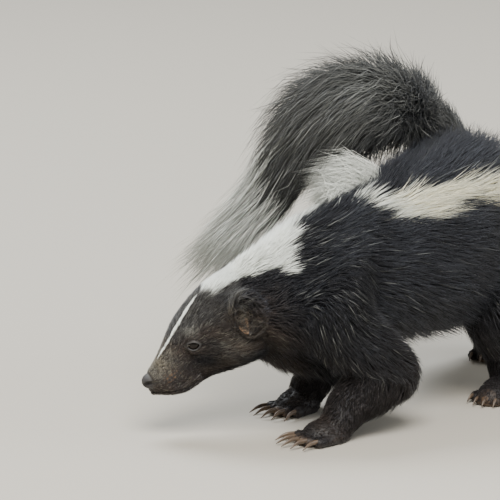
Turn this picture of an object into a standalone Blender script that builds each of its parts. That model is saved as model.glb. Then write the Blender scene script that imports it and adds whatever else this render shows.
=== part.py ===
"""A life-size striped skunk, walking with its nose to the ground, its body bent to its right and its
tail carried forward along its back.

The animal faces -X and its left side is -Y. Lengths in the tables are centimetres. Each body row is
a section of the outline at the coat's tips, and the coat column says how much of it is fur.
"""

import math
import random

import bmesh
import bpy
import numpy as np
from mathutils import Matrix, Vector
from mathutils.bvhtree import BVHTree

CM = 0.01
GAP = 0.0003
CLEARANCE = 0.0006
WELD = 0.000001
NUDGE = 0.00001
UP = Vector((0, 0, 1))

# Share of the coat's depth that the solid core under the locks fills, on the body and the tail.
CORE_SHARE = 0.5
TAIL_CORE_SHARE = 0.35

BODY_VOXEL = 0.003
BODY_TRIANGLES = 1700
LEG_VOXEL = 0.002
LEG_TRIANGLES = 260
TAIL_VOXEL = 0.0022
TAIL_TRIANGLES = 320
PAW_VOXEL = 0.0014
PAW_TRIANGLES = 150
HEAD_VOXEL = 0.0014
HEAD_TRIANGLES = 1200
SMOOTH_FACTOR = 0.5
BODY_SMOOTHING = 6
LEG_SMOOTHING = 5
TAIL_SMOOTHING = 4
PAW_SMOOTHING = 5
HEAD_SMOOTHING = 8
SHARP_DEGREES = 50
FLOOR_CLEAR = 0.001
# The most that a sharp corner is moved, as a share of the distance, when a solid is grown.
SHELL_MOST = 2.5
# Nothing is thinner than this at the end of a rounded bone.
BONE_TIP = 0.02

# x, y, z, half width, half height, coat: from the back of the head to the rump.
TRUNK = (
    (-6.9, 1.2, 8.1, 2.9, 3.1, 0.5),
    (-5.2, 0.8, 8.8, 3.3, 3.6, 0.8),
    (-3.0, 0.3, 9.3, 3.9, 4.35, 1.0),
    (0.0, 0.0, 9.7, 4.5, 5.0, 1.2),
    (3.6, 0.1, 10.2, 5.1, 5.5, 1.6),
    (7.0, 0.5, 10.75, 5.7, 6.1, 2.0),
    (10.0, 1.6, 10.9, 6.0, 6.1, 2.2),
    (12.8, 3.6, 11.0, 5.6, 5.6, 2.4),
    (15.0, 6.0, 11.5, 4.2, 4.3, 2.0),
    (16.3, 7.7, 12.0, 1.5, 1.8, 0.8),
)
TRUNK_SIDES = 28
TRUNK_STEPS = 40
NECK_END = 0.22

# Trunk sections that shape the back of the head and the throat.
THROAT_ROWS = 14

# x, y, z, radius of the tail without its hair, reach of the hair's tips.
TAIL = (
    (15.0, 6.2, 11.4, 1.9, 1.9),
    (16.0, 8.2, 13.2, 1.7, 1.8),
    (15.0, 8.5, 14.8, 1.5, 1.8),
    (12.8, 8.3, 16.9, 1.4, 1.6),
    (10.5, 7.4, 18.0, 1.35, 2.6),
    (7.8, 6.5, 18.5, 1.3, 3.5),
    (4.5, 5.7, 18.6, 1.2, 3.9),
    (1.6, 5.2, 17.8, 1.05, 3.7),
    (-0.3, 5.4, 16.0, 0.8, 3.1),
    (-1.6, 5.9, 13.8, 0.4, 2.4),
    (-3.6, 6.3, 12.0, 0.2, 1.6),
)
TAIL_SIDES = 14
TAIL_STEPS = 30

# The head's axis runs from the ears to the nose tip.
EAR_POINT = Vector((-6.74, 1.2, 8.0)) * CM
HEAD_PITCH = math.radians(33)
HEAD_YAW = math.radians(25)
HEAD_ROLL = math.radians(7)
# along the axis, above the axis, half width, half height, squareness of the section.
HEAD = (
    (-2.2, 0.0, 2.5, 2.75, 2.0),
    (-1.0, 0.0, 2.65, 2.9, 2.0),
    (0.3, 0.05, 2.7, 2.95, 2.1),
    (1.5, 0.08, 2.65, 2.9, 2.2),
    (2.5, 0.1, 2.45, 2.75, 2.2),
    (3.5, 0.1, 2.15, 2.5, 2.2),
    (4.3, 0.05, 1.85, 2.25, 2.2),
    (5.2, -0.2, 1.55, 1.95, 2.2),
    (6.0, -0.45, 1.35, 1.65, 2.2),
    (6.8, -0.55, 1.15, 1.28, 2.2),
    (7.4, -0.5, 0.95, 0.95, 2.2),
    (7.85, -0.42, 0.6, 0.6, 2.0),
)
HEAD_SIDES = 32
HEAD_STEPS = 36
NECK_CUT = -1.0

# Limbs and the breast are chains of rounded bones: x, y, z, radius.
BREAST = (
    (-5.8, 1.0, 7.45, 2.65),
    (-3.6, 0.6, 6.3, 2.95),
    (-0.5, 0.2, 6.0, 3.5),
)
LIMBS = {
    "front_left": (
        (-0.2, -2.0, 11.9, 1.2),
        (-3.6, -3.5, 7.6, 2.6),
        (0.3, -4.1, 3.8, 2.35),
        (-2.8, -3.9, 2.2, 1.6),
        (-3.6, -3.9, 1.2, 1.3),
    ),
    "front_right": (
        (0.2, 2.0, 11.9, 1.2),
        (-3.0, 3.4, 7.6, 2.5),
        (2.6, 3.9, 4.2, 2.3),
        (0.6, 3.7, 2.2, 1.5),
        (-0.1, 3.7, 1.2, 1.3),
    ),
    "rear_left": (
        (13.0, 0.6, 9.0, 4.2),
        (11.2, -1.8, 6.0, 3.0),
        (12.8, -1.2, 3.2, 2.0),
        (12.7, -1.3, 1.5, 1.5),
    ),
    "rear_right": (
        (12.2, 6.6, 9.0, 4.2),
        (13.6, 7.8, 6.0, 2.9),
        (20.0, 9.2, 3.4, 1.8),
        (19.9, 9.0, 1.6, 1.5),
    ),
}
LIMB_SIDES = 18

# Which row of each limb is the elbow or knee.
JOINT_ROW = {"front_left": 2, "front_right": 2, "rear_left": 1, "rear_right": 1}

# Each paw: heel x, y, then palm length, palm width, heading, toe length, claw length.
PAWS = {
    "front_left": (-3.3, -3.9, 3.0, 2.5, 174, 1.0, 1.5),
    "front_right": (0.3, 3.7, 3.0, 2.5, 186, 1.0, 1.5),
    "rear_left": (13.2, -1.1, 4.6, 2.5, 204, 0.9, 0.8),
    "rear_right": (20.3, 9.4, 4.6, 2.5, 228, 0.9, 0.8),
}
# The palm is a flat dome: how far its middle lies along and up, and its radii, as shares of its sizes.
PALM_HEIGHT = 1.5
PALM_AHEAD = 0.42
PALM_UP = 0.3
PALM_SHARES = (0.56, 0.5, 0.72)
TOES = 5
TOE_SPREAD = 14
TOE_RADIUS = 0.36
TOE_ROOT = 1.05
TOE_HEIGHT = 0.34
TOE_RISE = 0.02
TOE_SIDES = 6
TOE_LIFTS = (-80, -20)
# Where the knuckles lie: share of the palm's length, how much less at the outer toes, share of its width.
KNUCKLE_REACH = 0.69
KNUCKLE_CURVE = 0.16
KNUCKLE_WIDTH = 0.4
# A claw leaves the toe above its middle, bends part of the way along and ends lower.
CLAW_RADIUS = 0.16
CLAW_RISE = 0.08
CLAW_BEND = (0.6, 0.02)
CLAW_DROP = 0.3
CLAW_TAPER = 0.75
CLAW_TIP = 0.03
CLAW_SIDES = 4
CLAW_STEPS = 4
# How far up the wrist the paw reaches, as a share of the last bone.
WRIST_SHARE = 0.35

# In the head's own axes: along, left, up.
EYE_CENTRE = (4.2, 1.42, 0.84)
EYE_RADIUS = 0.48
EYE_OUT_AXIS = (0.33, 0.93, 0.12)
LID_RADIUS = 0.11
LID_LENGTH = 0.46
LID_HEIGHT = 0.32
LID_POINTED = 0.3
LID_LIFT = 0.03
LID_STEPS = 14
LID_SIDES = 6
NOSE_CENTRE = (7.72, 0.0, -0.16)
NOSE_RADII = (0.5, 0.62, 0.45)
NOSTRIL = ((8.3, 0.22, -0.08), (7.7, 0.34, -0.06))
NOSTRIL_RADIUS = 0.12
NOSTRIL_TAPER = 0.7
# Line of the mouth: along, left, up, from under the nose to the corner.
MOUTH = (
    (8.0, 0.0, -0.82),
    (7.7, 0.42, -0.88),
    (7.2, 0.8, -1.12),
    (6.5, 1.12, -1.38),
    (5.7, 1.34, -1.42),
    (5.0, 1.5, -1.28),
)
MOUTH_RADIUS = 0.07
LIP_RADIUS = 0.1
LIP_OFFSET = 0.13
# Each ear: side of the head, centre, then the ear's lengthwise axis. The right one is laid back.
EARS = {
    "left": (1, (0.45, 2.7, 0.95), (-0.45, -0.2, 0.87)),
    "right": (-1, (0.3, 2.7, 0.45), (-0.8, -0.2, 0.5)),
}
EAR_RADII = (1.45, 0.95, 0.8)
EAR_OUT_AXIS = (0.38, 0.9, 0.15)
EAR_HOLLOW = 0.5
EAR_WALL = 0.17

# Share of the upper limb, from shoulder to elbow and hip to knee, that stays with the torso.
UPPER_SHARE = 0.45
# The lower part starts this much thinner inside it.
LOWER_START = 0.85

# Locks of hair, by node: first and last place along the body or tail from 0 to 1, how many rows and
# how many in a full row, length along the coat in centimetres, width.
LOCKS = {
    "torso_front": ((0.24, 0.58), 5, 11, 4.2, 1.15),
    "torso_rear": ((0.54, 0.96), 5, 12, 4.2, 1.2),
    "neck": ((0.08, 0.24), 2, 9, 3.4, 0.9),
    "tail_base": ((0.28, 0.5), 3, 6, 5.0, 1.0),
    "tail_middle": ((0.48, 0.66), 3, 7, 6.5, 1.1),
    "tail_tip": ((0.66, 0.9), 4, 7, 6.0, 1.1),
}
# Along a lock: share of its length, share of the way out to the coat's tips, share of its width.
LOCK_RINGS = ((0.0, 0.0, 0.8), (0.32, 0.5, 1.0), (0.68, 0.85, 0.6), (1.0, 1.0, 0.0))
LOCK_THICKNESS = 0.34
LOCK_SINK = 0.12
LOCK_SPREAD = 0.1
LOCK_SWAY = 0.12
# What is tried for each lock till it clears the other nodes: share of its length, extra height.
LOCK_TRIES = ((1.0, 0.0), (1.0, 0.14), (0.75, 0.14), (0.6, 0.0))
LOCK_SEED = 31
LOCK_WIDTHS = (0.85, 1.15)
# How far a lock may turn from its place in the row, as a share of the spacing.
LOCK_JITTER = 0.15

# Thin cuts that part the torso and the tail: a point in centimetres, the cut's normal, its radius.
TORSO_CUTS = (
    ((-4.4, 0.0, 9.5), (0.794, -0.119, -0.596), 7.8),
    ((7.6, 0.7, 10.8), (0.98, 0.2, 0.0), 9.0),
)
TAIL_CUTS = (
    ((9.2, 6.9, 18.1), (-0.96, -0.26, 0.14), 5.0),
    ((2.9, 5.35, 18.2), (-0.97, -0.2, -0.15), 6.0),
)

# A point inside each part of the cut torso and tail, which names it.
TORSO_SEEDS = {
    "neck": (-4.6, 0.6, 10.2),
    "torso_front": (3.0, 0.0, 10.0),
    "torso_rear": (11.5, 2.6, 11.0),
}
TAIL_SEEDS = {
    "tail_base": (12.8, 8.0, 16.6),
    "tail_middle": (5.4, 5.9, 18.5),
    "tail_tip": (0.4, 4.9, 17.2),
}

# Colour and roughness of each material, and which nodes it is for, by the start of their names.
MATERIALS = {
    "black_fur": ((0.022, 0.019, 0.018, 1), 0.6, ("torso", "neck", "tail")),
    "brown_fur": ((0.05, 0.038, 0.032, 1), 0.6, ("head", "ear", "leg")),
    "eye": ((0.01, 0.01, 0.012, 1), 0.1, ("eye",)),
    "paw_skin": ((0.09, 0.065, 0.06, 1), 0.5, ("paw",)),
}


def clear_scene():
    for obj in list(bpy.data.objects):
        bpy.data.objects.remove(obj)


def new_collection(name):
    collection = bpy.data.collections.new(name)
    bpy.context.scene.collection.children.link(collection)
    return collection


def material(name, colour, roughness):
    made = bpy.data.materials.new(name)
    made.use_nodes = True
    shader = made.node_tree.nodes["Principled BSDF"]
    shader.inputs["Base Color"].default_value = colour
    shader.inputs["Roughness"].default_value = roughness
    shader.inputs["Metallic"].default_value = 0.0
    return made


def mesh_object(name, points, faces, collection):
    """An object with outward-facing faces from points in metres."""
    mesh = bpy.data.meshes.new(name)
    mesh.from_pydata([tuple(p) for p in points], [], faces)
    grid = bmesh.new()
    grid.from_mesh(mesh)
    bmesh.ops.recalc_face_normals(grid, faces=grid.faces)
    grid.to_mesh(mesh)
    grid.free()
    obj = bpy.data.objects.new(name, mesh)
    collection.objects.link(obj)
    return obj


def smooth_rows(rows, steps):
    """Rows read off a smooth curve through the given ones, evenly along its length."""
    table = np.array(rows, float)
    gaps = np.linalg.norm(np.diff(table[:, :3], axis=0), axis=1)
    at = np.concatenate([[0.0], np.cumsum(gaps)])
    slopes = np.gradient(table, at, axis=0)
    wanted = np.linspace(0, at[-1], steps)
    i = np.clip(np.searchsorted(at, wanted, side="right") - 1, 0, len(at) - 2)
    span = (at[i + 1] - at[i])[:, None]
    t = (wanted[:, None] - at[i][:, None]) / span
    start = (1 + 2 * t) * (1 - t) ** 2 * table[i] + t * (1 - t) ** 2 * span * slopes[i]
    end = t * t * (3 - 2 * t) * table[i + 1] + t * t * (t - 1) * span * slopes[i + 1]
    return start + end


def path_frames(centres, reference):
    """Tangent, sideways and upward unit vectors at each point of a path."""
    tangents = np.gradient(centres, axis=0)
    tangents /= np.linalg.norm(tangents, axis=1)[:, None]
    sides = reference - tangents * (tangents @ reference)[:, None]
    sides /= np.linalg.norm(sides, axis=1)[:, None]
    return tangents, sides, np.cross(tangents, sides)


def loft(name, centres, sides, ups, widths, heights, around, collection, power=None):
    """A closed tube through oval sections."""
    angles = np.linspace(0, 2 * math.pi, around, endpoint=False)
    power = np.full(len(centres), 2.0) if power is None else power
    points = []
    for c, s, u, w, h, p in zip(centres, sides, ups, widths, heights, power):
        across = np.sign(np.cos(angles)) * np.abs(np.cos(angles)) ** (2 / p) * w
        above = np.sign(np.sin(angles)) * np.abs(np.sin(angles)) ** (2 / p) * h
        points.extend(c + across[:, None] * s + above[:, None] * u)
    rings = len(centres)
    faces = []
    for r in range(rings - 1):
        for k in range(around):
            n = (k + 1) % around
            faces.append((r * around + k, r * around + n, (r + 1) * around + n, (r + 1) * around + k))
    faces.append(tuple(range(around)))
    faces.append(tuple(range((rings - 1) * around, rings * around)))
    return mesh_object(name, points, faces, collection)


def bone(name, a, b, radius_a, radius_b, around, collection, lifts=(-90, -60, -30, 0)):
    """A tapered limb length with round ends."""
    a, b = np.array(a), np.array(b)
    along = b - a
    length = np.linalg.norm(along)
    along = along / length
    lifts = np.radians(lifts)
    stations = [(np.sin(f) * radius_a, np.cos(f) * radius_a) for f in lifts]
    stations += [(length + np.sin(-f) * radius_b, np.cos(f) * radius_b) for f in lifts[::-1]]
    reference = np.array([0.0, 1.0, 0.0]) if abs(along[1]) < 0.9 else np.array([1.0, 0.0, 0.0])
    side = np.cross(along, reference)
    side /= np.linalg.norm(side)
    up = np.cross(along, side)
    centres = [a + along * s for s, _ in stations]
    radii = [max(r, BONE_TIP * CM) for _, r in stations]
    count = len(stations)
    return loft(name, centres, [side] * count, [up] * count, radii, radii, around, collection)


def ellipsoid(name, centre, axes, radii, collection, segments=16, rings=10):
    """A round solid whose three radii lie along the three given axes."""
    grid = bmesh.new()
    bmesh.ops.create_uvsphere(grid, u_segments=segments, v_segments=rings, radius=1.0)
    turn = Matrix([[axes[c][r] * radii[c] for c in range(3)] for r in range(3)])
    if turn.determinant() < 0:
        turn = turn @ Matrix.Diagonal((1, 1, -1))
    bmesh.ops.transform(grid, matrix=Matrix.Translation(Vector(centre)) @ turn.to_4x4(), verts=grid.verts)
    mesh = bpy.data.meshes.new(name)
    grid.to_mesh(mesh)
    grid.free()
    obj = bpy.data.objects.new(name, mesh)
    collection.objects.link(obj)
    return obj


def freeze(obj):
    """Replaces the object's mesh with what its modifiers make of it."""
    bpy.context.view_layer.update()
    made = bpy.data.meshes.new_from_object(obj.evaluated_get(bpy.context.evaluated_depsgraph_get()))
    old = obj.data
    obj.modifiers.clear()
    obj.data = made
    bpy.data.meshes.remove(old)
    return obj


def join(name, objects, collection):
    """One object that holds the others' meshes side by side."""
    grid = bmesh.new()
    for obj in objects:
        grid.from_mesh(obj.data)
    mesh = bpy.data.meshes.new(name)
    grid.to_mesh(mesh)
    grid.free()
    for obj in objects:
        bpy.data.objects.remove(obj)
    made = bpy.data.objects.new(name, mesh)
    collection.objects.link(made)
    return made


def fuse(obj, voxel, smoothing, triangles):
    """Melts crossing shapes into one skin, smooths it and thins its faces."""
    remesh = obj.modifiers.new("melt", "REMESH")
    remesh.mode = "VOXEL"
    remesh.voxel_size = voxel
    smooth = obj.modifiers.new("smooth", "SMOOTH")
    smooth.factor = SMOOTH_FACTOR
    smooth.iterations = smoothing
    freeze(obj)
    keep_largest(obj)
    thin = obj.modifiers.new("thin", "DECIMATE")
    thin.ratio = min(1.0, triangles / (2 * len(obj.data.polygons)))
    return freeze(obj)


def boolean(obj, operation, tools):
    """Joins or cuts obj with a collection of closed meshes, then removes them."""
    group = bpy.data.collections.new("tools")
    bpy.context.scene.collection.children.link(group)
    for tool in tools:
        for owner in list(tool.users_collection):
            owner.objects.unlink(tool)
        group.objects.link(tool)
    modifier = obj.modifiers.new("boolean", "BOOLEAN")
    modifier.operation = operation
    modifier.operand_type = "COLLECTION"
    modifier.collection = group
    modifier.solver = "MANIFOLD"
    freeze(obj)
    for tool in list(group.objects):
        bpy.data.objects.remove(tool)
    bpy.data.collections.remove(group)
    return obj


def weld(obj):
    """Tidies what the Booleans left: all but flat faces go, and folds that touch at a point draw apart."""
    grid = bmesh.new()
    grid.from_mesh(obj.data)
    bmesh.ops.triangulate(grid, faces=grid.faces)
    bmesh.ops.dissolve_degenerate(grid, edges=grid.edges, dist=WELD)
    bmesh.ops.triangulate(grid, faces=grid.faces)
    grid.normal_update()
    places = {}
    for vert in grid.verts:
        key = tuple(round(value / WELD) for value in vert.co)
        places.setdefault(key, []).append(vert)
    for group in places.values():
        if len(group) > 1:
            for vert in group:
                vert.co -= vert.normal * NUDGE
    grid.to_mesh(obj.data)
    grid.free()


def islands(obj):
    """Lists the faces of each closed surface in the object's mesh."""
    grid = bmesh.new()
    grid.from_mesh(obj.data)
    grid.faces.ensure_lookup_table()
    seen, found = set(), []
    for face in grid.faces:
        if face.index in seen:
            continue
        group, queue = [], [face]
        seen.add(face.index)
        while queue:
            current = queue.pop()
            group.append(current.index)
            for edge in current.edges:
                for other in edge.link_faces:
                    if other.index not in seen:
                        seen.add(other.index)
                        queue.append(other)
        found.append(group)
    grid.free()
    return found


def submesh(obj, name, faces, collection):
    """A new object from some of the object's faces."""
    grid = bmesh.new()
    grid.from_mesh(obj.data)
    grid.faces.ensure_lookup_table()
    keep = set(faces)
    bmesh.ops.delete(grid, geom=[f for f in grid.faces if f.index not in keep], context="FACES")
    bmesh.ops.triangulate(grid, faces=grid.faces)
    mesh = bpy.data.meshes.new(name)
    grid.to_mesh(mesh)
    grid.free()
    made = bpy.data.objects.new(name, mesh)
    collection.objects.link(made)
    return made


def volume(obj, faces=None):
    """Signed volume inside the mesh, or inside some of its faces."""
    grid = bmesh.new()
    grid.from_mesh(obj.data)
    if faces is not None:
        grid.faces.ensure_lookup_table()
        keep = set(faces)
        bmesh.ops.delete(grid, geom=[f for f in grid.faces if f.index not in keep], context="FACES")
    amount = grid.calc_volume(signed=True)
    grid.free()
    return amount


def keep_largest(obj):
    """Drops loose scraps and sealed hollows, and keeps the largest closed surface."""
    groups = islands(obj)
    if len(groups) > 1:
        best = max(groups, key=lambda faces: volume(obj, faces))
        grid = bmesh.new()
        grid.from_mesh(obj.data)
        grid.faces.ensure_lookup_table()
        keep = set(best)
        bmesh.ops.delete(grid, geom=[f for f in grid.faces if f.index not in keep], context="FACES")
        grid.to_mesh(obj.data)
        grid.free()
    return obj


def head_axes():
    """The head's forward, left and up unit vectors."""
    forward = Vector(
        (
            -math.cos(HEAD_PITCH) * math.cos(HEAD_YAW),
            math.cos(HEAD_PITCH) * math.sin(HEAD_YAW),
            -math.sin(HEAD_PITCH),
        )
    )
    left = UP.cross(forward).normalized()
    up = forward.cross(left)
    turn = Matrix.Rotation(-HEAD_ROLL, 3, forward)
    return forward, turn @ left, turn @ up


def on_head(along, left, up):
    """A point in the head's own axes, in centimetres, as a point of the model."""
    f, l, u = head_axes()
    return EAR_POINT + (f * along + l * left + u * up) * CM


def side_axes(side, out, long):
    """A frame on one side of the head from an outward and a lengthwise direction in its axes."""
    f, l, u = head_axes()
    outward = (f * out[0] + l * (out[1] * side) + u * out[2]).normalized()
    length = f * long[0] + l * (long[1] * side) + u * long[2]
    length = (length - outward * length.dot(outward)).normalized()
    return length, outward, length.cross(outward)


def head_shape(collection):
    f, l, u = (np.array(v) for v in head_axes())
    table = smooth_rows([(a, up, 0, w, h, p) for a, up, w, h, p in HEAD], HEAD_STEPS)
    centres = np.array(EAR_POINT) + (table[:, :1] * f + table[:, 1:2] * u) * CM
    count = len(table)
    return loft(
        "head",
        centres,
        [l] * count,
        [u] * count,
        table[:, 3] * CM,
        table[:, 4] * CM,
        HEAD_SIDES,
        collection,
        table[:, 5],
    )


def trunk_rows(share):
    """Trunk sections at a share of the coat's depth: all of it at the head, and the given share behind."""
    table = smooth_rows(TRUNK, TRUNK_STEPS)
    at = np.linspace(0, 1, TRUNK_STEPS)
    off = table[:, 5] * (1 - np.interp(at, (0.0, NECK_END), (1.0, share)))
    table[:, 3] -= off
    table[:, 4] -= off
    return table * CM


def trunk_shape(collection, share, rows=TRUNK_STEPS):
    """The trunk, or its first rows only, counted from the head."""
    table = trunk_rows(share)[:rows]
    _, sides, ups = path_frames(table[:, :3], np.array([0.0, 1.0, 0.0]))
    return loft(
        "trunk", table[:, :3], sides, ups, table[:, 3], table[:, 4], TRUNK_SIDES, collection
    )


def tail_shape(collection, share):
    """The tail, with the given share of its hair's reach filled in."""
    table = smooth_rows(TAIL, TAIL_STEPS) * CM
    radii = table[:, 3] + (table[:, 4] - table[:, 3]) * share
    _, sides, ups = path_frames(table[:, :3], np.array([0.0, 1.0, 0.0]))
    return loft("tail", table[:, :3], sides, ups, radii, radii, TAIL_SIDES, collection)


def bones(chain, collection):
    """A rounded bone between each pair of points in a chain."""
    made = []
    for a, b in zip(chain, chain[1:]):
        ends = [np.array(p[:3]) * CM for p in (a, b)]
        made.append(bone("bone", *ends, a[3] * CM, b[3] * CM, LIMB_SIDES, collection))
    return made


def upper_limbs(collection):
    """The breast, the shoulders and thighs: what the limbs leave with the torso."""
    made = bones(BREAST, collection)
    for name, chain in LIMBS.items():
        rows = [np.array(row) for row in chain]
        k = JOINT_ROW[name]
        end = rows[k - 1] + (rows[k] - rows[k - 1]) * UPPER_SHARE
        made += bones(rows[:k] + [end], collection)
    return made


def lower_limb(name, collection):
    """The rest of a limb, which starts inside the part that stays with the torso."""
    rows = [np.array(row) for row in LIMBS[name]]
    k = JOINT_ROW[name]
    start = rows[k - 1] + (rows[k] - rows[k - 1]) * UPPER_SHARE
    start[3] *= LOWER_START
    return bones([start] + rows[k:-1], collection)


def paw_axes(name):
    """Forward and left unit vectors of a paw, and its heel point."""
    x, y, _, _, heading, _, _ = PAWS[name]
    turn = math.radians(heading)
    forward = Vector((math.cos(turn), math.sin(turn), 0))
    return forward, UP.cross(forward), Vector((x, y, 0)) * CM


def palm_shape(name, collection):
    forward, left, heel = paw_axes(name)
    length, width = PAWS[name][2:4]
    centre = heel + forward * (length * PALM_AHEAD * CM) + UP * (PALM_HEIGHT * PALM_UP * CM)
    radii = [size * share * CM for size, share in zip((length, width, PALM_HEIGHT), PALM_SHARES)]
    return ellipsoid(name, centre, (forward, left, UP), radii, collection)


def toe_shapes(name, collection):
    """The toes and claws of one paw, each a tapered bone."""
    forward, left, heel = paw_axes(name)
    _, _, length, width, _, toe, claw = PAWS[name]
    made = []
    for k in range(TOES):
        spread = (k - (TOES - 1) / 2) / ((TOES - 1) / 2)
        ahead = Matrix.Rotation(math.radians(TOE_SPREAD) * spread, 3, "Z") @ forward
        reach = length * (KNUCKLE_REACH - KNUCKLE_CURVE * spread**2)
        knuckle = heel + forward * (reach * CM) + left * (width * KNUCKLE_WIDTH * spread * CM)
        start = knuckle + UP * (TOE_HEIGHT * CM)
        middle = start + ahead * (toe * CM) + UP * (TOE_RISE * CM)
        radii = (TOE_RADIUS * TOE_ROOT * CM, TOE_RADIUS * CM)
        made.append(bone("toe", start, middle, *radii, TOE_SIDES, collection, TOE_LIFTS))
        base = middle + UP * (CLAW_RISE * CM)
        bend = base + ahead * (claw * CLAW_BEND[0] * CM) + UP * (CLAW_BEND[1] * CM)
        tip = base + ahead * (claw * CM) - UP * (CLAW_DROP * CM)
        made.append(claw_shape(base, bend, tip, collection))
    return made


def claw_shape(base, bend, tip, collection):
    """A curved claw: a tapering four-sided horn through three points."""
    radii = (CLAW_RADIUS, CLAW_RADIUS * CLAW_TAPER, CLAW_TIP)
    rows = [(*(place / CM), radius) for place, radius in zip((base, bend, tip), radii)]
    table = smooth_rows(rows, CLAW_STEPS) * CM
    _, sides, ups = path_frames(table[:, :3], np.array([0.0, 1.0, 0.0]))
    return loft("claw", table[:, :3], sides, ups, table[:, 3], table[:, 3], CLAW_SIDES, collection)


def floor_cutter(collection):
    """A slab whose top is the floor, to cut flat soles."""
    return block("floor", Vector((0, 0, -0.05)), (1, 1, 0.1), collection)


def block(name, centre, sizes, collection, turn=None):
    """A box of the given sizes, turned by a rotation matrix if one is given."""
    grid = bmesh.new()
    bmesh.ops.create_cube(grid, size=1.0)
    matrix = (turn or Matrix.Identity(3)) @ Matrix.Diagonal(sizes)
    bmesh.ops.transform(grid, matrix=Matrix.Translation(centre) @ matrix.to_4x4(), verts=grid.verts)
    mesh = bpy.data.meshes.new(name)
    grid.to_mesh(mesh)
    grid.free()
    obj = bpy.data.objects.new(name, mesh)
    collection.objects.link(obj)
    return obj


def disc_cutter(name, point, normal, radius, collection):
    """A thin round slab: the width of the gap between two parts."""
    grid = bmesh.new()
    bmesh.ops.create_cone(
        grid, cap_ends=True, segments=24, radius1=radius * CM, radius2=radius * CM, depth=GAP
    )
    turn = Vector(normal).to_track_quat("Z", "Y").to_matrix().to_4x4()
    place = Matrix.Translation(Vector(point) * CM) @ turn
    bmesh.ops.transform(grid, matrix=place, verts=grid.verts)
    mesh = bpy.data.meshes.new(name)
    grid.to_mesh(mesh)
    grid.free()
    obj = bpy.data.objects.new(name, mesh)
    collection.objects.link(obj)
    return obj


def neck_plane_box(collection, ahead):
    """A box round the head that ends at the cut between head and neck, or one behind that cut."""
    f, l, u = head_axes()
    turn = Matrix((f, l, u)).transposed()
    size = 20 * CM
    shift = NECK_CUT * CM + (size - GAP) / 2 * (1 if ahead else -1)
    return block("half", EAR_POINT + f * shift, (size, size, size), collection, turn)


def split(obj, seeds, parts, collection):
    """Parts a cut object into its loose pieces, named by the seed points."""
    pieces = [submesh(obj, "piece", faces, collection) for faces in islands(obj)]
    made = {}
    for name, seed in seeds.items():
        best = next(piece for piece in pieces if holds(piece, Vector(seed) * CM))
        pieces.remove(best)
        best.name = name
        parts.objects.link(best)
        collection.objects.unlink(best)
        made[name] = best
    for piece in pieces + [obj]:
        bpy.data.objects.remove(piece)
    return made


def clear_of(obj, others, collection):
    """Cuts an object back from others, so that a thin gap is left."""
    boolean(obj, "DIFFERENCE", [swollen(other, CLEARANCE, collection) for other in others])
    return keep_largest(obj)


def build_torso(parts, collection, share):
    """The neck and torso parted by thin cuts, and the body that they were cut from."""
    shapes = [trunk_shape(collection, share), head_shape(collection)] + upper_limbs(collection)
    torso = join("torso", shapes, collection)
    fuse(torso, BODY_VOXEL, BODY_SMOOTHING, BODY_TRIANGLES)
    whole = swollen(torso, 0.0, collection)
    boolean(torso, "DIFFERENCE", [neck_plane_box(collection, True)])
    boolean(torso, "DIFFERENCE", [disc_cutter("cut", *row, collection) for row in TORSO_CUTS])
    return split(torso, TORSO_SEEDS, parts, collection), whole


def build_legs(parts, collection, torso):
    """Each leg from its elbow or knee down to the wrist or heel, and each paw."""
    made = {}
    for name in LIMBS:
        paw = build_paw(name, parts, collection)
        leg = join(f"leg_{name}", lower_limb(name, collection), parts)
        fuse(leg, LEG_VOXEL, LEG_SMOOTHING, LEG_TRIANGLES)
        clear_of(leg, [torso, paw], collection)
        boolean(leg, "DIFFERENCE", [floor_cutter(collection)])
        made[leg.name] = keep_largest(leg)
        made[paw.name] = paw
    return made


def build_tail(parts, collection, share, torso):
    tail = tail_shape(collection, share)
    fuse(tail, TAIL_VOXEL, TAIL_SMOOTHING, TAIL_TRIANGLES)
    clear_of(tail, [torso], collection)
    boolean(tail, "DIFFERENCE", [disc_cutter("cut", *row, collection) for row in TAIL_CUTS])
    return split(tail, TAIL_SEEDS, parts, collection)


def holds(obj, point):
    return tree_holds(surface_tree(obj), point)


def tree_holds(tree, point):
    """Whether the point is inside the closed skin: a ray from it crosses the skin an odd number of times."""
    ray = Vector((0.31, 0.52, 0.79)).normalized()
    crossings = 0
    place = point
    while place is not None:
        place, _, _, _ = tree.ray_cast(place + ray * 1e-6, ray)
        crossings += place is not None
    return crossings % 2 == 1


def surface_tree(obj):
    grid = bmesh.new()
    grid.from_mesh(obj.data)
    bmesh.ops.triangulate(grid, faces=grid.faces)
    tree = BVHTree.FromBMesh(grid)
    grid.free()
    return tree


# A direction that no part of the mouth's line follows.
TUBE_REFERENCE = np.array([-0.13, 0.31, 0.81])


def tube(name, points, radius, around, collection):
    """A closed round tube along points, all in metres."""
    centres = np.array([tuple(p) for p in points])
    _, sides, ups = path_frames(centres, TUBE_REFERENCE)
    radii = np.full(len(centres), radius)
    return loft(name, centres, sides, ups, radii, radii, around, collection)


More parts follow.
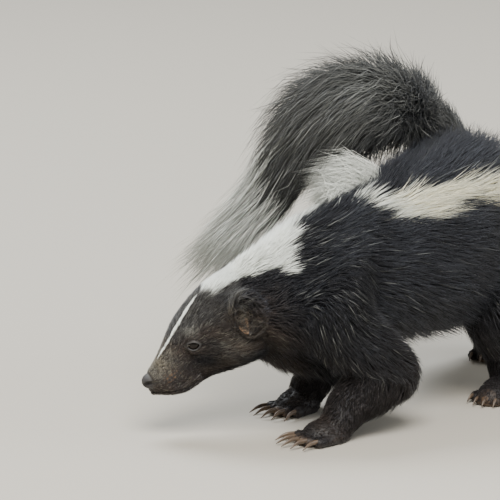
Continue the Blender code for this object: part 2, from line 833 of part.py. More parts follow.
def lid_ring(side, collection):
    """The rims of both lids as one almond-shaped ring round the eye."""
    count, sides = LID_STEPS, LID_SIDES
    points, faces = [], []
    ahead, out, across = side_axes(side, EYE_OUT_AXIS, (1, 0, 0))
    along, left, up = EYE_CENTRE
    centre = on_head(along, left * side, up)
    for k in range(count):
        turn = 2 * math.pi * k / count
        a = LID_LENGTH * math.cos(turn)
        h = LID_HEIGHT * math.sin(turn) * abs(math.sin(turn)) ** LID_POINTED
        lift = math.sqrt(EYE_RADIUS**2 - min(a * a + h * h, 0.9 * EYE_RADIUS**2)) + LID_LIFT
        rim = centre + (ahead * a + out * lift + across * h) * CM
        radial = (ahead * a + across * h).normalized()
        for j in range(sides):
            spin = 2 * math.pi * j / sides
            points.append(rim + (radial * math.cos(spin) + out * math.sin(spin)) * (LID_RADIUS * CM))
    for k in range(count):
        for j in range(sides):
            n, m = (k + 1) % count, (j + 1) % sides
            faces.append((k * sides + j, n * sides + j, n * sides + m, k * sides + m))
    return mesh_object("lids", points, faces, collection)


def mouth_curve(lift=0.0, outward=0.0):
    """The line of the mouth from one corner round the front to the other."""
    rows = [(a, left + outward, up + lift) for a, left, up in MOUTH[1:]]
    front = (MOUTH[0][0], 0.0, MOUTH[0][2] + lift)
    other = [(a, -left, up) for a, left, up in reversed(rows)]
    return [on_head(*row) for row in smooth_rows(other + [front] + rows, 17)]


def build_head(parts, collection):
    """The head with its lids, nose, lips, mouth line and nostrils."""
    shapes = [head_shape(collection), trunk_shape(collection, 1.0, THROAT_ROWS)]
    head = join("head", shapes + bones(BREAST, collection), collection)
    nose = ellipsoid(
        "nose", on_head(*NOSE_CENTRE), head_axes(), [r * CM for r in NOSE_RADII], collection, 14, 9
    )
    fuse(head, HEAD_VOXEL, HEAD_SMOOTHING, HEAD_TRIANGLES)
    added = [nose]
    added.append(tube("lip", mouth_curve(LIP_OFFSET, 0.0), LIP_RADIUS * CM, 5, collection))
    added.append(tube("lip", mouth_curve(-LIP_OFFSET, -0.05), LIP_RADIUS * CM, 5, collection))
    for side in (1, -1):
        added.append(lid_ring(side, collection))
    boolean(head, "UNION", added)
    cut = [neck_plane_box(collection, False)]
    cut.append(tube("mouth", mouth_curve(0.0, 0.04), MOUTH_RADIUS * CM, 6, collection))
    along, left, up = EYE_CENTRE
    for side in (1, -1):
        reach = (EYE_RADIUS * CM) + GAP
        cut.append(
            ellipsoid("socket", on_head(along, left * side, up), head_axes(), [reach] * 3, collection, 14, 10)
        )
        near, far = (on_head(a, l * side, u) for a, l, u in NOSTRIL)
        cut.append(
            bone("nostril", near, far, NOSTRIL_RADIUS * CM, NOSTRIL_RADIUS * NOSTRIL_TAPER * CM, 8, collection)
        )
    boolean(head, "DIFFERENCE", cut)
    keep_largest(head)
    head.name = "head"
    parts.objects.link(head)
    collection.objects.unlink(head)
    return head


def build_eyes(parts):
    made = {}
    along, left, up = EYE_CENTRE
    for label, side in (("left", 1), ("right", -1)):
        name = f"eye_{label}"
        centre = on_head(along, left * side, up)
        made[name] = ellipsoid(name, centre, head_axes(), [EYE_RADIUS * CM] * 3, parts, 12, 8)
    return made


def swollen(obj, distance, collection):
    """A copy of a closed object, grown outward by a small distance."""
    grid = bmesh.new()
    grid.from_mesh(obj.data)
    grid.normal_update()
    for vert in grid.verts:
        vert.co += vert.normal * (distance * min(vert.calc_shell_factor(), SHELL_MOST))
    mesh = bpy.data.meshes.new("swollen")
    grid.to_mesh(mesh)
    grid.free()
    made = bpy.data.objects.new("swollen", mesh)
    collection.objects.link(made)
    return made


def build_ear(label, head, parts, collection):
    """A cupped ear: a bowl that opens outward and forward, cut to sit on the head."""
    side, (along, left, up), long_axis = EARS[label]
    length, out, across = side_axes(side, EAR_OUT_AXIS, long_axis)
    axes = (length, across, out)
    centre = on_head(along, left * side, up)
    radii = [r * CM for r in EAR_RADII]
    ear = ellipsoid(f"ear_{label}", centre, axes, radii, parts, 14, 8)
    radii = [r - EAR_WALL * CM for r in radii]
    inner = ellipsoid("hollow", centre + out * (EAR_HOLLOW * CM), axes, radii, collection, 12, 8)
    boolean(ear, "DIFFERENCE", [inner, swollen(head, GAP, collection)])
    return keep_largest(ear)


def tube_field(table, sides, ups, widths, heights):
    """A function that gives the point of a tube at a place along it, an angle round it and a height."""
    at = np.linspace(0, 1, len(table))

    def read(values, place):
        return np.array([np.interp(place, at, values[:, k]) for k in range(values.shape[1])])

    def point(place, angle, lift):
        """Lift 0 is the bare flesh and 1 the tips of the coat. Past the end, the last section goes on."""
        past = max(place - 1.0, 0.0) * length
        place = min(place, 1.0)
        centre = read(table[:, :3], place) + end * past
        w = np.interp(place, at, widths[0]) * (1 - lift) + np.interp(place, at, widths[1]) * lift
        h = np.interp(place, at, heights[0]) * (1 - lift) + np.interp(place, at, heights[1]) * lift
        side, up = read(sides, place), read(ups, place)
        return Vector(centre + side * (math.cos(angle) * w) + up * (math.sin(angle) * h))

    length = np.linalg.norm(np.diff(table[:, :3], axis=0), axis=1).sum()
    end = table[-1, :3] - table[-2, :3]
    end /= np.linalg.norm(end)
    return point, length


def trunk_field():
    table = smooth_rows(TRUNK, TRUNK_STEPS) * CM
    _, sides, ups = path_frames(table[:, :3], np.array([0.0, 1.0, 0.0]))
    widths = (table[:, 3] - table[:, 5], table[:, 3])
    heights = (table[:, 4] - table[:, 5], table[:, 4])
    return tube_field(table, sides, ups, widths, heights)


def tail_field():
    table = smooth_rows(TAIL, TAIL_STEPS) * CM
    _, sides, ups = path_frames(table[:, :3], np.array([0.0, 1.0, 0.0]))
    return tube_field(table, sides, ups, (table[:, 3], table[:, 4]), (table[:, 3], table[:, 4]))


def lock(path, outward, width, collection):
    """A flat tapered lock of hair through the points of a path."""
    points, faces = [], []
    rings = len(path) - 1
    for k in range(rings):
        along = (path[k + 1] - path[max(k - 1, 0)]).normalized()
        across = along.cross(outward).normalized()
        lift = across.cross(along)
        w, t = width * LOCK_RINGS[k][2] * CM / 2, LOCK_THICKNESS * LOCK_RINGS[k][2] * CM / 2
        points += [path[k] + across * w, path[k] + lift * t, path[k] - across * w, path[k] - lift * t]
    points.append(path[-1])
    for k in range(rings - 1):
        for j in range(4):
            n = (j + 1) % 4
            faces.append((k * 4 + j, k * 4 + n, (k + 1) * 4 + n, (k + 1) * 4 + j))
    last = (rings - 1) * 4
    faces += [(last + j, last + (j + 1) % 4, rings * 4) for j in range(4)]
    faces.append((0, 1, 2, 3))
    return mesh_object("lock", points, faces, collection)


def crosses(obj, trees):
    """Whether a small object meets any of the surfaces, lies inside one or goes under the floor."""
    if min(v.co.z for v in obj.data.vertices) < FLOOR_CLEAR:
        return True
    own = surface_tree(obj)
    tips = [obj.data.vertices[k].co for k in (-1, 0, 5)]
    return any(own.overlap(tree) or any(tree_holds(tree, tip) for tip in tips) for tree in trees)


def lock_path(field, length, place, angle, reach, raised, core, rng):
    """Points of a lock, from under the core's skin to the tips of the coat."""
    spread = rng.uniform(-LOCK_SPREAD, LOCK_SPREAD)
    sway = rng.uniform(-LOCK_SWAY, LOCK_SWAY)
    sunk = core - LOCK_SINK
    path = []
    for share, lift, _ in LOCK_RINGS:
        height = sunk + (1.0 + spread - sunk) * lift + raised * math.sin(math.pi * min(share * 1.6, 1.0))
        path.append(field(place + share * reach * CM / length, angle + sway * share, height))
    return path


def grow_lock(field, length, place, angle, core, size, trees, rng, collection):
    """One lock, shortened until it stays clear of the other nodes, or nothing if it can't."""
    reach, width = size[0], size[1] * rng.uniform(*LOCK_WIDTHS)
    outward = (field(place, angle, 1.0) - field(place, angle, 0.0)).normalized()
    for share, raised in LOCK_TRIES:
        path = lock_path(field, length, place, angle, reach * share, raised, core, rng)
        hair = lock(path, outward, width, collection)
        if not crosses(hair, trees):
            return hair
        bpy.data.objects.remove(hair)
    return None


def grow_locks(name, nodes, collection):
    """Joins a node to its locks."""
    (first, last), rows, around, *size = LOCKS[name]
    tail = name.startswith("tail")
    field, length = tail_field() if tail else trunk_field()
    core = TAIL_CORE_SHARE if tail else CORE_SHARE
    rng = random.Random(f"{LOCK_SEED} {name}")
    skins = [swollen(obj, CLEARANCE, collection) for label, obj in nodes.items() if label != name]
    trees = [surface_tree(obj) for obj in skins]
    own = surface_tree(nodes[name])
    made = []
    for row in range(rows):
        place = first + (last - first) * (row + 0.5) / rows
        for k in range(around):
            angle = 2 * math.pi * (k + 0.5 * (row % 2) + rng.uniform(-LOCK_JITTER, LOCK_JITTER)) / around
            if tree_holds(own, field(place, angle, core - LOCK_SINK)):
                made.append(grow_lock(field, length, place, angle, core, size, trees, rng, collection))
    made = [hair for hair in made if hair]
    for skin in skins:
        bpy.data.objects.remove(skin)
    boolean(nodes[name], "UNION", made)
    keep_largest(nodes[name])


def build_paw(name, parts, collection):
    """A paw: wrist and palm in one, with toes and claws, cut flat at the floor."""
    wrist = [(x, y, z, r) for x, y, z, r in LIMBS[name][-2:]]
    wrist[0] = tuple(wrist[1][k] + (wrist[0][k] - wrist[1][k]) * WRIST_SHARE for k in range(4))
    paw = join(f"paw_{name}", bones(wrist, collection) + [palm_shape(name, collection)], parts)
    fuse(paw, PAW_VOXEL, PAW_SMOOTHING, PAW_TRIANGLES)
    boolean(paw, "UNION", toe_shapes(name, collection))
    boolean(paw, "DIFFERENCE", [floor_cutter(collection)])
    return keep_largest(paw)


def centre_on_floor(objects):
    """Moves the model so that its box is centred on the origin, with the floor at zero."""
    corners = np.array([v.co for obj in objects for v in obj.data.vertices])
    low, high = corners.min(axis=0), corners.max(axis=0)
    shift = Vector((-(low[0] + high[0]) / 2, -(low[1] + high[1]) / 2, -low[2]))
    for obj in objects:
        obj.data.transform(Matrix.Translation(shift))


def finish(obj, mat):
    weld(obj)
    obj.data.materials.clear()
    obj.data.materials.append(mat)
    obj.data.shade_smooth()
    obj.data.set_sharp_from_angle(angle=math.radians(SHARP_DEGREES))


def main():
    clear_scene()
    parts = new_collection("striped_skunk")
    bench = new_collection("bench")
    nodes, torso = build_torso(parts, bench, CORE_SHARE)
    nodes.update(build_legs(parts, bench, torso))
    nodes.update(build_tail(parts, bench, TAIL_CORE_SHARE, torso))
    head = build_head(parts, bench)
    nodes["head"] = head
    nodes.update(build_eyes(parts))
    for label in EARS:
        nodes[f"ear_{label}"] = build_ear(label, head, parts, bench)
    for name in LOCKS:
        grow_locks(name, nodes, bench)
    for obj in list(bench.objects):
        bpy.data.objects.remove(obj)
    centre_on_floor(list(nodes.values()))
    for name, (colour, roughness, starts) in MATERIALS.items():
        made = material(name, colour, roughness)
        for label, obj in nodes.items():
            if label.startswith(starts):
                finish(obj, made)


main()
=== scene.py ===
"""The looks of a striped skunk: one skin, a coat of solid tufts, eyes and claws.

The animal faces -X and its left side is -Y. Lengths in the tables are centimetres. Each section of
the body is the outline at the coat's tips, and the skin lies under it by the coat's depth.
"""

import math
from collections import namedtuple
from contextlib import contextmanager

import bmesh
import bpy
import numpy as np
from mathutils import Matrix, Vector
from mathutils.bvhtree import BVHTree
from mathutils.kdtree import KDTree


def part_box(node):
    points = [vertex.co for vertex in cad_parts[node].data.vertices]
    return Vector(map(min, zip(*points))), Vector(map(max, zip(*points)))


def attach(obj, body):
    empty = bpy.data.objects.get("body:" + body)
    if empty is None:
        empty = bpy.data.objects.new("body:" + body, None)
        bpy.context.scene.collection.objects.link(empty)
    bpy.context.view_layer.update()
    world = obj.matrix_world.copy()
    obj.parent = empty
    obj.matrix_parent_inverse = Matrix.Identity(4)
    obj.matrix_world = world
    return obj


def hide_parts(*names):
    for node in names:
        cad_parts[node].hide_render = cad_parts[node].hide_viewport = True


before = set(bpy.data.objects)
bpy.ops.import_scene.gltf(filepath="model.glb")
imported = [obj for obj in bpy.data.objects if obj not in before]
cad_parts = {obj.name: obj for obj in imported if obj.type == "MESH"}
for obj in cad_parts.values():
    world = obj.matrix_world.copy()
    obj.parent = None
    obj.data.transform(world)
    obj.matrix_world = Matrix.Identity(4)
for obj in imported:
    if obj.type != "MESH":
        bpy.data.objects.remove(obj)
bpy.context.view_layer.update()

CM = 0.01
UP = Vector((0, 0, 1))
LENGTHWISE = np.array([1.0, 0.0, 0.0])
SIDEWAYS = np.array([0.0, 1.0, 0.0])
# The two sides of the animal: left, right.
SIDES = (1, -1)
SEED = 7
# Added to a length or an area before something is divided by it.
TINY = 1e-12
TINY_AREA = 1e-18

# x, y, z, half width, half height, coat: from the back of the head to the rump.
TRUNK = (
    (-6.9, 1.2, 8.1, 2.9, 3.1, 0.5),
    (-5.2, 0.8, 8.8, 3.3, 3.6, 0.8),
    (-3.0, 0.3, 9.3, 3.9, 4.35, 1.0),
    (0.0, 0.0, 9.7, 4.5, 5.0, 1.2),
    (3.6, 0.1, 10.2, 5.1, 5.5, 1.6),
    (7.0, 0.5, 10.75, 5.7, 6.1, 2.0),
    (10.0, 1.6, 10.9, 6.0, 6.1, 2.2),
    (12.8, 3.6, 11.0, 5.6, 5.6, 2.4),
    (15.0, 6.0, 11.5, 4.2, 4.3, 2.0),
    (16.3, 7.7, 12.0, 1.5, 1.8, 0.8),
)
TRUNK_SIDES = 48
TRUNK_STEPS = 70

# x, y, z, radius of the tail without its hair, reach of the hair's tips.
TAIL = (
    (15.0, 6.2, 11.4, 1.9, 1.9),
    (16.0, 8.2, 13.2, 1.7, 1.8),
    (15.0, 8.5, 14.8, 1.5, 1.8),
    (12.8, 8.3, 16.9, 1.4, 1.6),
    (10.5, 7.4, 18.0, 1.35, 2.6),
    (7.8, 6.5, 18.5, 1.3, 3.5),
    (4.5, 5.7, 18.6, 1.2, 3.9),
    (1.6, 5.2, 17.8, 1.05, 3.7),
    (-0.3, 5.4, 16.0, 0.8, 3.1),
    (-1.6, 5.9, 13.8, 0.4, 2.4),
    (-3.6, 6.3, 12.0, 0.2, 1.6),
)
TAIL_SIDES = 24
TAIL_STEPS = 60
TAIL_FLESH = 0.75

# The head's axis runs from the ears to the nose tip.
EAR_POINT = Vector((-6.74, 1.2, 8.0)) * CM
HEAD_PITCH = math.radians(33)
HEAD_YAW = math.radians(25)
HEAD_ROLL = math.radians(7)
# along the axis, above the axis, half width, half height, squareness of the section.
HEAD = (
    (-2.2, 0.0, 2.5, 2.75, 2.0),
    (-1.0, 0.0, 2.65, 2.9, 2.0),
    (0.3, 0.05, 2.7, 2.95, 2.1),
    (1.5, 0.08, 2.65, 2.9, 2.2),
    (2.5, 0.1, 2.45, 2.75, 2.2),
    (3.5, 0.1, 2.15, 2.5, 2.2),
    (4.3, 0.05, 1.85, 2.25, 2.2),
    (5.2, -0.2, 1.55, 1.95, 2.2),
    (6.0, -0.45, 1.35, 1.65, 2.2),
    (6.8, -0.55, 1.15, 1.28, 2.2),
    (7.4, -0.5, 0.95, 0.95, 2.2),
    (7.85, -0.42, 0.6, 0.6, 2.0),
)
HEAD_SIDES = 64
HEAD_STEPS = 80
HEAD_COAT = ((-2.2, 0.45), (0.3, 0.28), (3.5, 0.2), (6.0, 0.1), (8.0, 0.05))

# Limbs and the breast are chains of rounded bones: x, y, z, radius, coat.
LIMBS = {
    "breast": (
        (-5.8, 1.0, 7.45, 2.65, 0.5),
        (-3.6, 0.6, 6.3, 2.95, 0.8),
        (-0.5, 0.2, 6.0, 3.5, 1.1),
    ),
    "front_left": (
        (-0.2, -2.0, 11.9, 1.2, 0.9),
        (-3.6, -3.5, 7.6, 2.6, 0.9),
        (0.3, -4.1, 3.8, 2.35, 0.8),
        (-2.8, -3.9, 2.2, 1.6, 0.35),
        (-3.6, -3.9, 1.2, 1.3, 0.2),
    ),
    "front_right": (
        (0.2, 2.0, 11.9, 1.2, 0.9),
        (-3.0, 3.4, 7.6, 2.5, 0.9),
        (2.6, 3.9, 4.2, 2.3, 0.8),
        (0.6, 3.7, 2.2, 1.5, 0.35),
        (-0.1, 3.7, 1.2, 1.3, 0.2),
    ),
    "rear_left": (
        (13.0, 0.6, 9.0, 4.2, 1.5),
        (11.2, -1.8, 6.0, 3.0, 1.2),
        (12.8, -1.2, 3.2, 2.0, 0.5),
        (12.7, -1.3, 1.5, 1.5, 0.2),
    ),
    "rear_right": (
        (12.2, 6.6, 9.0, 4.2, 1.5),
        (13.6, 7.8, 6.0, 2.9, 1.2),
        (20.0, 9.2, 3.4, 1.8, 0.5),
        (19.9, 9.0, 1.6, 1.5, 0.2),
    ),
}
LIMB_SIDES = 28
LIMB_STEPS = 10
LIMB_SIDEWAYS = np.array([0.1, 1.0, 0.15])
# The hair at the top of a limb leans this much towards the rump.
LIMB_BACK = 1.1
# Flesh between the neck and the near shoulder: x, y, z, radius, coat.
SHOULDER_FILL = ((-6.2, -0.4, 7.8, 2.3, 0.6), (-4.3, -2.2, 7.8, 2.6, 0.8))
# The shoulders run smoothly into neck and trunk: centres, reach, passes and steps of the smoothing.
SHOULDERS = ((-4.2, -2.9, 8.4), (-3.4, 3.2, 8.4))
SHOULDER_REACH = (1.5, 3.0)
SHOULDER_SMOOTHING = 160
SHOULDER_LEVELS = 5

# Each paw: its heel point, palm length and width, heading in degrees, toe length, claw length.
Paw = namedtuple("Paw", "x y length width heading toe claw")
PAWS = {
    "front_left": Paw(-3.3, -3.9, 3.0, 2.5, 174, 1.0, 1.5),
    "front_right": Paw(0.3, 3.7, 3.0, 2.5, 186, 1.0, 1.5),
    "rear_left": Paw(13.2, -1.1, 4.6, 2.5, 204, 0.9, 0.8),
    "rear_right": Paw(20.3, 9.4, 4.6, 2.5, 228, 0.9, 0.8),
}
# Paws and hair stay this far above the floor, in metres.
FLOOR_CLEAR = 0.0002
# A paw's form for its hair: sections, start, height of its middle, width share, half height, coat.
PAW_SECTIONS = 12
PAW_START = 0.25
PAW_MIDDLE = 0.5
PAW_WIDTH = 0.48
PAW_HALF_HEIGHT = 0.75
PAW_COAT = 0.1
# The palm: its height, then where its centre lies and its radii, as shares of the paw's sizes.
PALM_HEIGHT = 1.5
PALM_PLACE = (0.42, 0.3)
PALM_SHARES = (0.54, 0.48, 0.68)
WRIST_SHARE = 0.35
# Toes fan out by this angle, and the outer ones start further back. Sizes of a toe.
TOES = 5
TOE_FAN = math.radians(14)
TOE_ROW = (0.86, 0.2)
TOE_RADIUS = 0.36
TOE_TAPER = 0.86
TOE_RISE = 0.02
# Knuckles: share of the toe row's reach, share of the paw's width, height.
KNUCKLE = (0.8, 0.4, 0.34)
# Toe pads: how far back from the toe's end, how far below it, radii.
PAD_PLACE = (0.12, 0.1)
PAD_RADII = (0.34, 0.3, 0.26)
# Claws: root behind and above the toe's end, place and rise of the bend, overrun and drop of the tip.
# The radius at the root, and as a share of it at the bend. The width is a share of the height.
CLAW_RADIUS = 0.17
CLAW_ROOT = (0.1, 0.08)
CLAW_BEND = (0.6, 0.02)
CLAW_OVERRUN = 0.1
CLAW_DROP = 0.3
CLAW_BEND_RADIUS = 0.75
CLAW_TIP_RADIUS = 0.02
CLAW_WIDTH = 0.7
CLAW_STEPS = 12

# In the head's own axes: along, left, up.
EYE_CENTRE = (4.2, 1.42, 0.84)
EYE_RADIUS = 0.48
EYE_FIT = 0.985
EYE_OUT_AXIS = (0.33, 0.93, 0.12)
EYE_LONG_AXIS = (0.92, 0.0, 0.38)
EYE_GAP = 0.01
# The cornea: cosine of the angle from the middle where it begins, and its rise for the radius.
CORNEA_START = 0.8
CORNEA_BULGE = 0.03
LID_THICKNESS = 0.075
# Half length and half height of the opening between the lids, how almond-shaped, and the cut's depth.
OPENING = (0.385, 0.245)
OPENING_ALMOND = 0.35
OPENING_DEPTHS = (0.1, 1.2)
OPENING_POINTS = 32
NOSE_CENTRE = (7.72, 0.0, -0.16)
NOSE_RADII = (0.5, 0.62, 0.45)
# Each nostril opens forward and runs back along the side as a slit: two ends and a radius.
NOSTRILS = (
    ((8.3, 0.26, -0.08), (7.6, 0.34, -0.06), 0.13),
    ((8.0, 0.48, -0.02), (7.4, 0.9, -0.16), 0.17),
)
NOSTRIL_TAPER = 0.7
# Line of the mouth, from under the nose to the corner.
MOUTH = (
    (8.0, 0.0, -0.82),
    (7.7, 0.42, -0.88),
    (7.2, 0.8, -1.12),
    (6.5, 1.12, -1.38),
    (5.7, 1.34, -1.42),
    (5.0, 1.5, -1.28),
)
MOUTH_STEPS = 41
# Lips and the cut between them: height and distance outward from that line, radius.
LIPS = ((0.14, -0.02, 0.11), (-0.14, -0.06, 0.12))
MOUTH_CUT = (0.0, 0.05, 0.07)
# Which way is up along that line: so much of the head's forward axis, and this.
LIP_TILT = 0.3
LIP_UP = (0.1, 0.2, 0.97)
# Each ear by side of the head: its centre and its lengthwise axis. The right one is laid back.
EARS = {
    1: ((0.45, 2.7, 0.95), (-0.45, -0.2, 0.87)),
    -1: ((0.3, 2.7, 0.45), (-0.8, -0.2, 0.5)),
}
EAR_RADII = (1.42, 0.92, 0.78)
EAR_OUT_AXIS = (0.38, 0.9, 0.15)
EAR_HOLLOW = 0.5
EAR_WALL = 0.15
# Small forms of the head, mirrored: place along, left, up, then the radii in the same directions.
HEAD_FORMS = (
    ("cheek", (1.6, 1.55, -0.7), (1.8, 1.0, 1.2)),
    ("brow", (3.9, 1.1, 1.35), (0.85, 0.42, 0.3)),
    ("whisker_pad", (6.6, 0.62, -0.85), (0.9, 0.5, 0.42)),
    ("tragus", (1.05, 2.35, 0.65), (0.22, 0.3, 0.36)),
)

BODY_VOXEL = 0.0018
BODY_SMOOTHING = 30
HEAD_VOXEL = 0.0006
HEAD_SMOOTHING = 6
PAW_VOXEL = 0.0009
PAW_SMOOTHING = 3
SMOOTHING_FACTOR = 0.5
# The round ends of a bone, from its pole to its rim, and the least radius there.
CAP_ANGLES = np.radians([-90, -72, -54, -36, -18, 0])
LEAST_RADIUS = 0.02
# A bone whose direction has more than this of sideways in it is measured from another axis.
NEARLY_SIDEWAYS = 0.9
# Sides of thin tubes and of toes and nostrils, and segments and rings of round solids.
TUBE_SIDES = 8
SMALL_SIDES = 12
FINE_SPHERE = (48, 32)
COARSE_SPHERE = (16, 12)


def link(name, data):
    """Puts a mesh, a camera or a light into the scene."""
    obj = bpy.data.objects.new(name, data)
    bpy.context.scene.collection.objects.link(obj)
    return obj


@contextmanager
def edited(mesh):
    """The mesh as a grid that can be worked on and is written back afterwards."""
    grid = bmesh.new()
    grid.from_mesh(mesh)
    yield grid
    grid.to_mesh(mesh)
    grid.free()


def mesh_object(name, points, faces):
    """A smooth object with outward-facing faces from points in metres."""
    mesh = bpy.data.meshes.new(name)
    mesh.from_pydata([tuple(p) for p in points], [], faces)
    with edited(mesh) as grid:
        bmesh.ops.recalc_face_normals(grid, faces=grid.faces)
    mesh.shade_smooth()
    return link(name, mesh)


def vertex_points(mesh):
    """The mesh's vertices as rows of x, y and z."""
    points = np.empty(len(mesh.vertices) * 3)
    mesh.vertices.foreach_get("co", points)
    return points.reshape(-1, 3)


def read_rows(rows, at):
    """The columns of a table after its first, read off at places along the first."""
    table = np.array(rows, float)
    return [np.interp(at, table[:, 0], column) for column in table[:, 1:].T]


def smooth_rows(rows, steps):
    """Rows read off a smooth curve through the given ones, evenly along its length."""
    table = np.array(rows, float)
    gaps = np.linalg.norm(np.diff(table[:, :3], axis=0), axis=1)
    at = np.concatenate([[0.0], np.cumsum(gaps)])
    slopes = np.gradient(table, at, axis=0)
    wanted = np.linspace(0, at[-1], steps)
    i = np.clip(np.searchsorted(at, wanted, side="right") - 1, 0, len(at) - 2)
    span = (at[i + 1] - at[i])[:, None]
    t = (wanted[:, None] - at[i][:, None]) / span
    start = (1 + 2 * t) * (1 - t) ** 2 * table[i] + t * (1 - t) ** 2 * span * slopes[i]
    end = t * t * (3 - 2 * t) * table[i + 1] + t * t * (t - 1) * span * slopes[i + 1]
    return start + end


def path_frames(centres, reference):
    """Sideways and upward unit vectors at each point of a path."""
    tangents = np.gradient(centres, axis=0)
    tangents /= np.linalg.norm(tangents, axis=1)[:, None]
    sides = reference - tangents * (tangents @ reference)[:, None]
    sides /= np.linalg.norm(sides, axis=1)[:, None]
    return sides, np.cross(tangents, sides)


def loft(name, centres, sides, ups, widths, heights, around, power=None):
    """A closed tube through oval sections."""
    angles = np.linspace(0, 2 * math.pi, around, endpoint=False)
    power = np.full(len(centres), 2.0) if power is None else power
    points = []
    for c, s, u, w, h, p in zip(centres, sides, ups, widths, heights, power):
        across = np.sign(np.cos(angles)) * np.abs(np.cos(angles)) ** (2 / p) * w
        above = np.sign(np.sin(angles)) * np.abs(np.sin(angles)) ** (2 / p) * h
        points.extend(c + across[:, None] * s + above[:, None] * u)
    rings = len(centres)
    faces = []
    for r in range(rings - 1):
        for k in range(around):
            n = (k + 1) % around
            faces.append((r * around + k, r * around + n, (r + 1) * around + n, (r + 1) * around + k))
    faces.append(tuple(range(around)))
    faces.append(tuple(range((rings - 1) * around, rings * around)))
    return mesh_object(name, points, faces)


def bone(a, b, radius_a, radius_b, around):
    """A tapered limb length with round ends."""
    a, b = np.array(a), np.array(b)
    along = b - a
    length = np.linalg.norm(along)
    along = along / length
    stations = [(np.sin(f) * radius_a, np.cos(f) * radius_a) for f in CAP_ANGLES]
    stations += [(length + np.sin(-f) * radius_b, np.cos(f) * radius_b) for f in CAP_ANGLES[::-1]]
    reference = SIDEWAYS if abs(along[1]) < NEARLY_SIDEWAYS else LENGTHWISE
    side = np.cross(along, reference)
    side /= np.linalg.norm(side)
    up = np.cross(along, side)
    centres = [a + along * s for s, _ in stations]
    radii = [max(r, LEAST_RADIUS * CM) for _, r in stations]
    count = len(stations)
    return loft("bone", centres, [side] * count, [up] * count, radii, radii, around)


def ellipsoid(name, centre, axes, radii, segments=32, rings=20):
    """A round solid whose three radii lie along the three given axes."""
    grid = bmesh.new()
    bmesh.ops.create_uvsphere(grid, u_segments=segments, v_segments=rings, radius=1.0)
    turn = Matrix([[axes[c][r] * radii[c] for c in range(3)] for r in range(3)])
    if turn.determinant() < 0:
        turn = turn @ Matrix.Diagonal((1, 1, -1))
    bmesh.ops.transform(grid, matrix=Matrix.Translation(Vector(centre)) @ turn.to_4x4(), verts=grid.verts)
    mesh = bpy.data.meshes.new(name)
    grid.to_mesh(mesh)
    grid.free()
    mesh.shade_smooth()
    return link(name, mesh)


def freeze(obj):
    """Replaces the object's mesh with what its modifiers make of it."""
    bpy.context.view_layer.update()
    made = bpy.data.meshes.new_from_object(obj.evaluated_get(bpy.context.evaluated_depsgraph_get()))
    old = obj.data
    obj.modifiers.clear()
    obj.data = made
    bpy.data.meshes.remove(old)
    return obj


def join(name, objects):
    """One object that holds the others' meshes side by side."""
    grid = bmesh.new()
    for obj in objects:
        grid.from_mesh(obj.data)
    mesh = bpy.data.meshes.new(name)
    grid.to_mesh(mesh)
    grid.free()
    for obj in objects:
        bpy.data.objects.remove(obj)
    return link(name, mesh)


def add_smoothing(obj, passes):
    """A modifier that smooths the object's skin."""
    smooth = obj.modifiers.new("smooth", "SMOOTH")
    smooth.factor = SMOOTHING_FACTOR
    smooth.iterations = passes
    return smooth


def melt(obj, voxel, smoothing):
    """Makes one smooth skin of crossing shapes."""
    remesh = obj.modifiers.new("melt", "REMESH")
    remesh.mode = "VOXEL"
    remesh.voxel_size = voxel
    add_smoothing(obj, smoothing)
    return freeze(obj)


def boolean(obj, operation, tools):
    """Joins or cuts obj with closed meshes, then removes them."""
    for tool in tools:
        modifier = obj.modifiers.new("boolean", "BOOLEAN")
        modifier.operation = operation
        modifier.object = tool
        modifier.solver = "MANIFOLD"
    freeze(obj)
    for tool in tools:
        bpy.data.objects.remove(tool)
    return obj


def head_axes():
    """The head's forward, left and up unit vectors."""
    level = math.cos(HEAD_PITCH)
    forward = Vector((-level * math.cos(HEAD_YAW), level * math.sin(HEAD_YAW), -math.sin(HEAD_PITCH)))
    left = UP.cross(forward).normalized()
    up = forward.cross(left)
    turn = Matrix.Rotation(-HEAD_ROLL, 3, forward)
    return forward, turn @ left, turn @ up


def on_head(along, left, up):
    """A point in the head's own axes, in centimetres, as a point of the model."""
    f, l, u = head_axes()
    return EAR_POINT + (f * along + l * left + u * up) * CM


def side_axes(side, out, long):
    """A frame on one side of the head from an outward and a lengthwise direction in its axes."""
    f, l, u = head_axes()
    outward = (f * out[0] + l * (out[1] * side) + u * out[2]).normalized()
    length = f * long[0] + l * (long[1] * side) + u * long[2]
    length = (length - outward * length.dot(outward)).normalized()
    return length, outward, length.cross(outward)


# The forms of the animal, as tubes that any point can be measured against.
class Form:
    """A tube with a skin and a coat: the hair lies along its path in the given direction."""

    def __init__(self, centres, frames, widths, heights, coat, direction=1.0, power=None):
        self.centres, self.coat, self.power = centres, coat, power
        self.sides, self.ups = (np.asarray(vectors) for vectors in frames)
        self.widths, self.heights = widths, heights
        self.flow = np.gradient(self.centres, axis=0)
        self.flow *= direction / np.linalg.norm(self.flow, axis=1)[:, None]

    def measure(self, points):
        """For each point: nearest section, distance from the axis as a share of the skin's, angle."""
        gaps = ((points[:, None, :] - self.centres[None, :, :]) ** 2).sum(axis=2)
        nearest = gaps.argmin(axis=1)
        off = points - self.centres[nearest]
        x = (off * self.sides[nearest]).sum(axis=1) / self.widths[nearest]
        y = (off * self.ups[nearest]).sum(axis=1) / self.heights[nearest]
        along = (off * self.flow[nearest]).sum(axis=1) / self.widths[nearest]
        return nearest, np.sqrt(x * x + y * y + along * along), np.arctan2(x, y)

    def solid(self, name, around):
        """The form's skin as a closed tube."""
        return loft(
            name, self.centres, self.sides, self.ups, self.widths, self.heights, around, self.power
        )


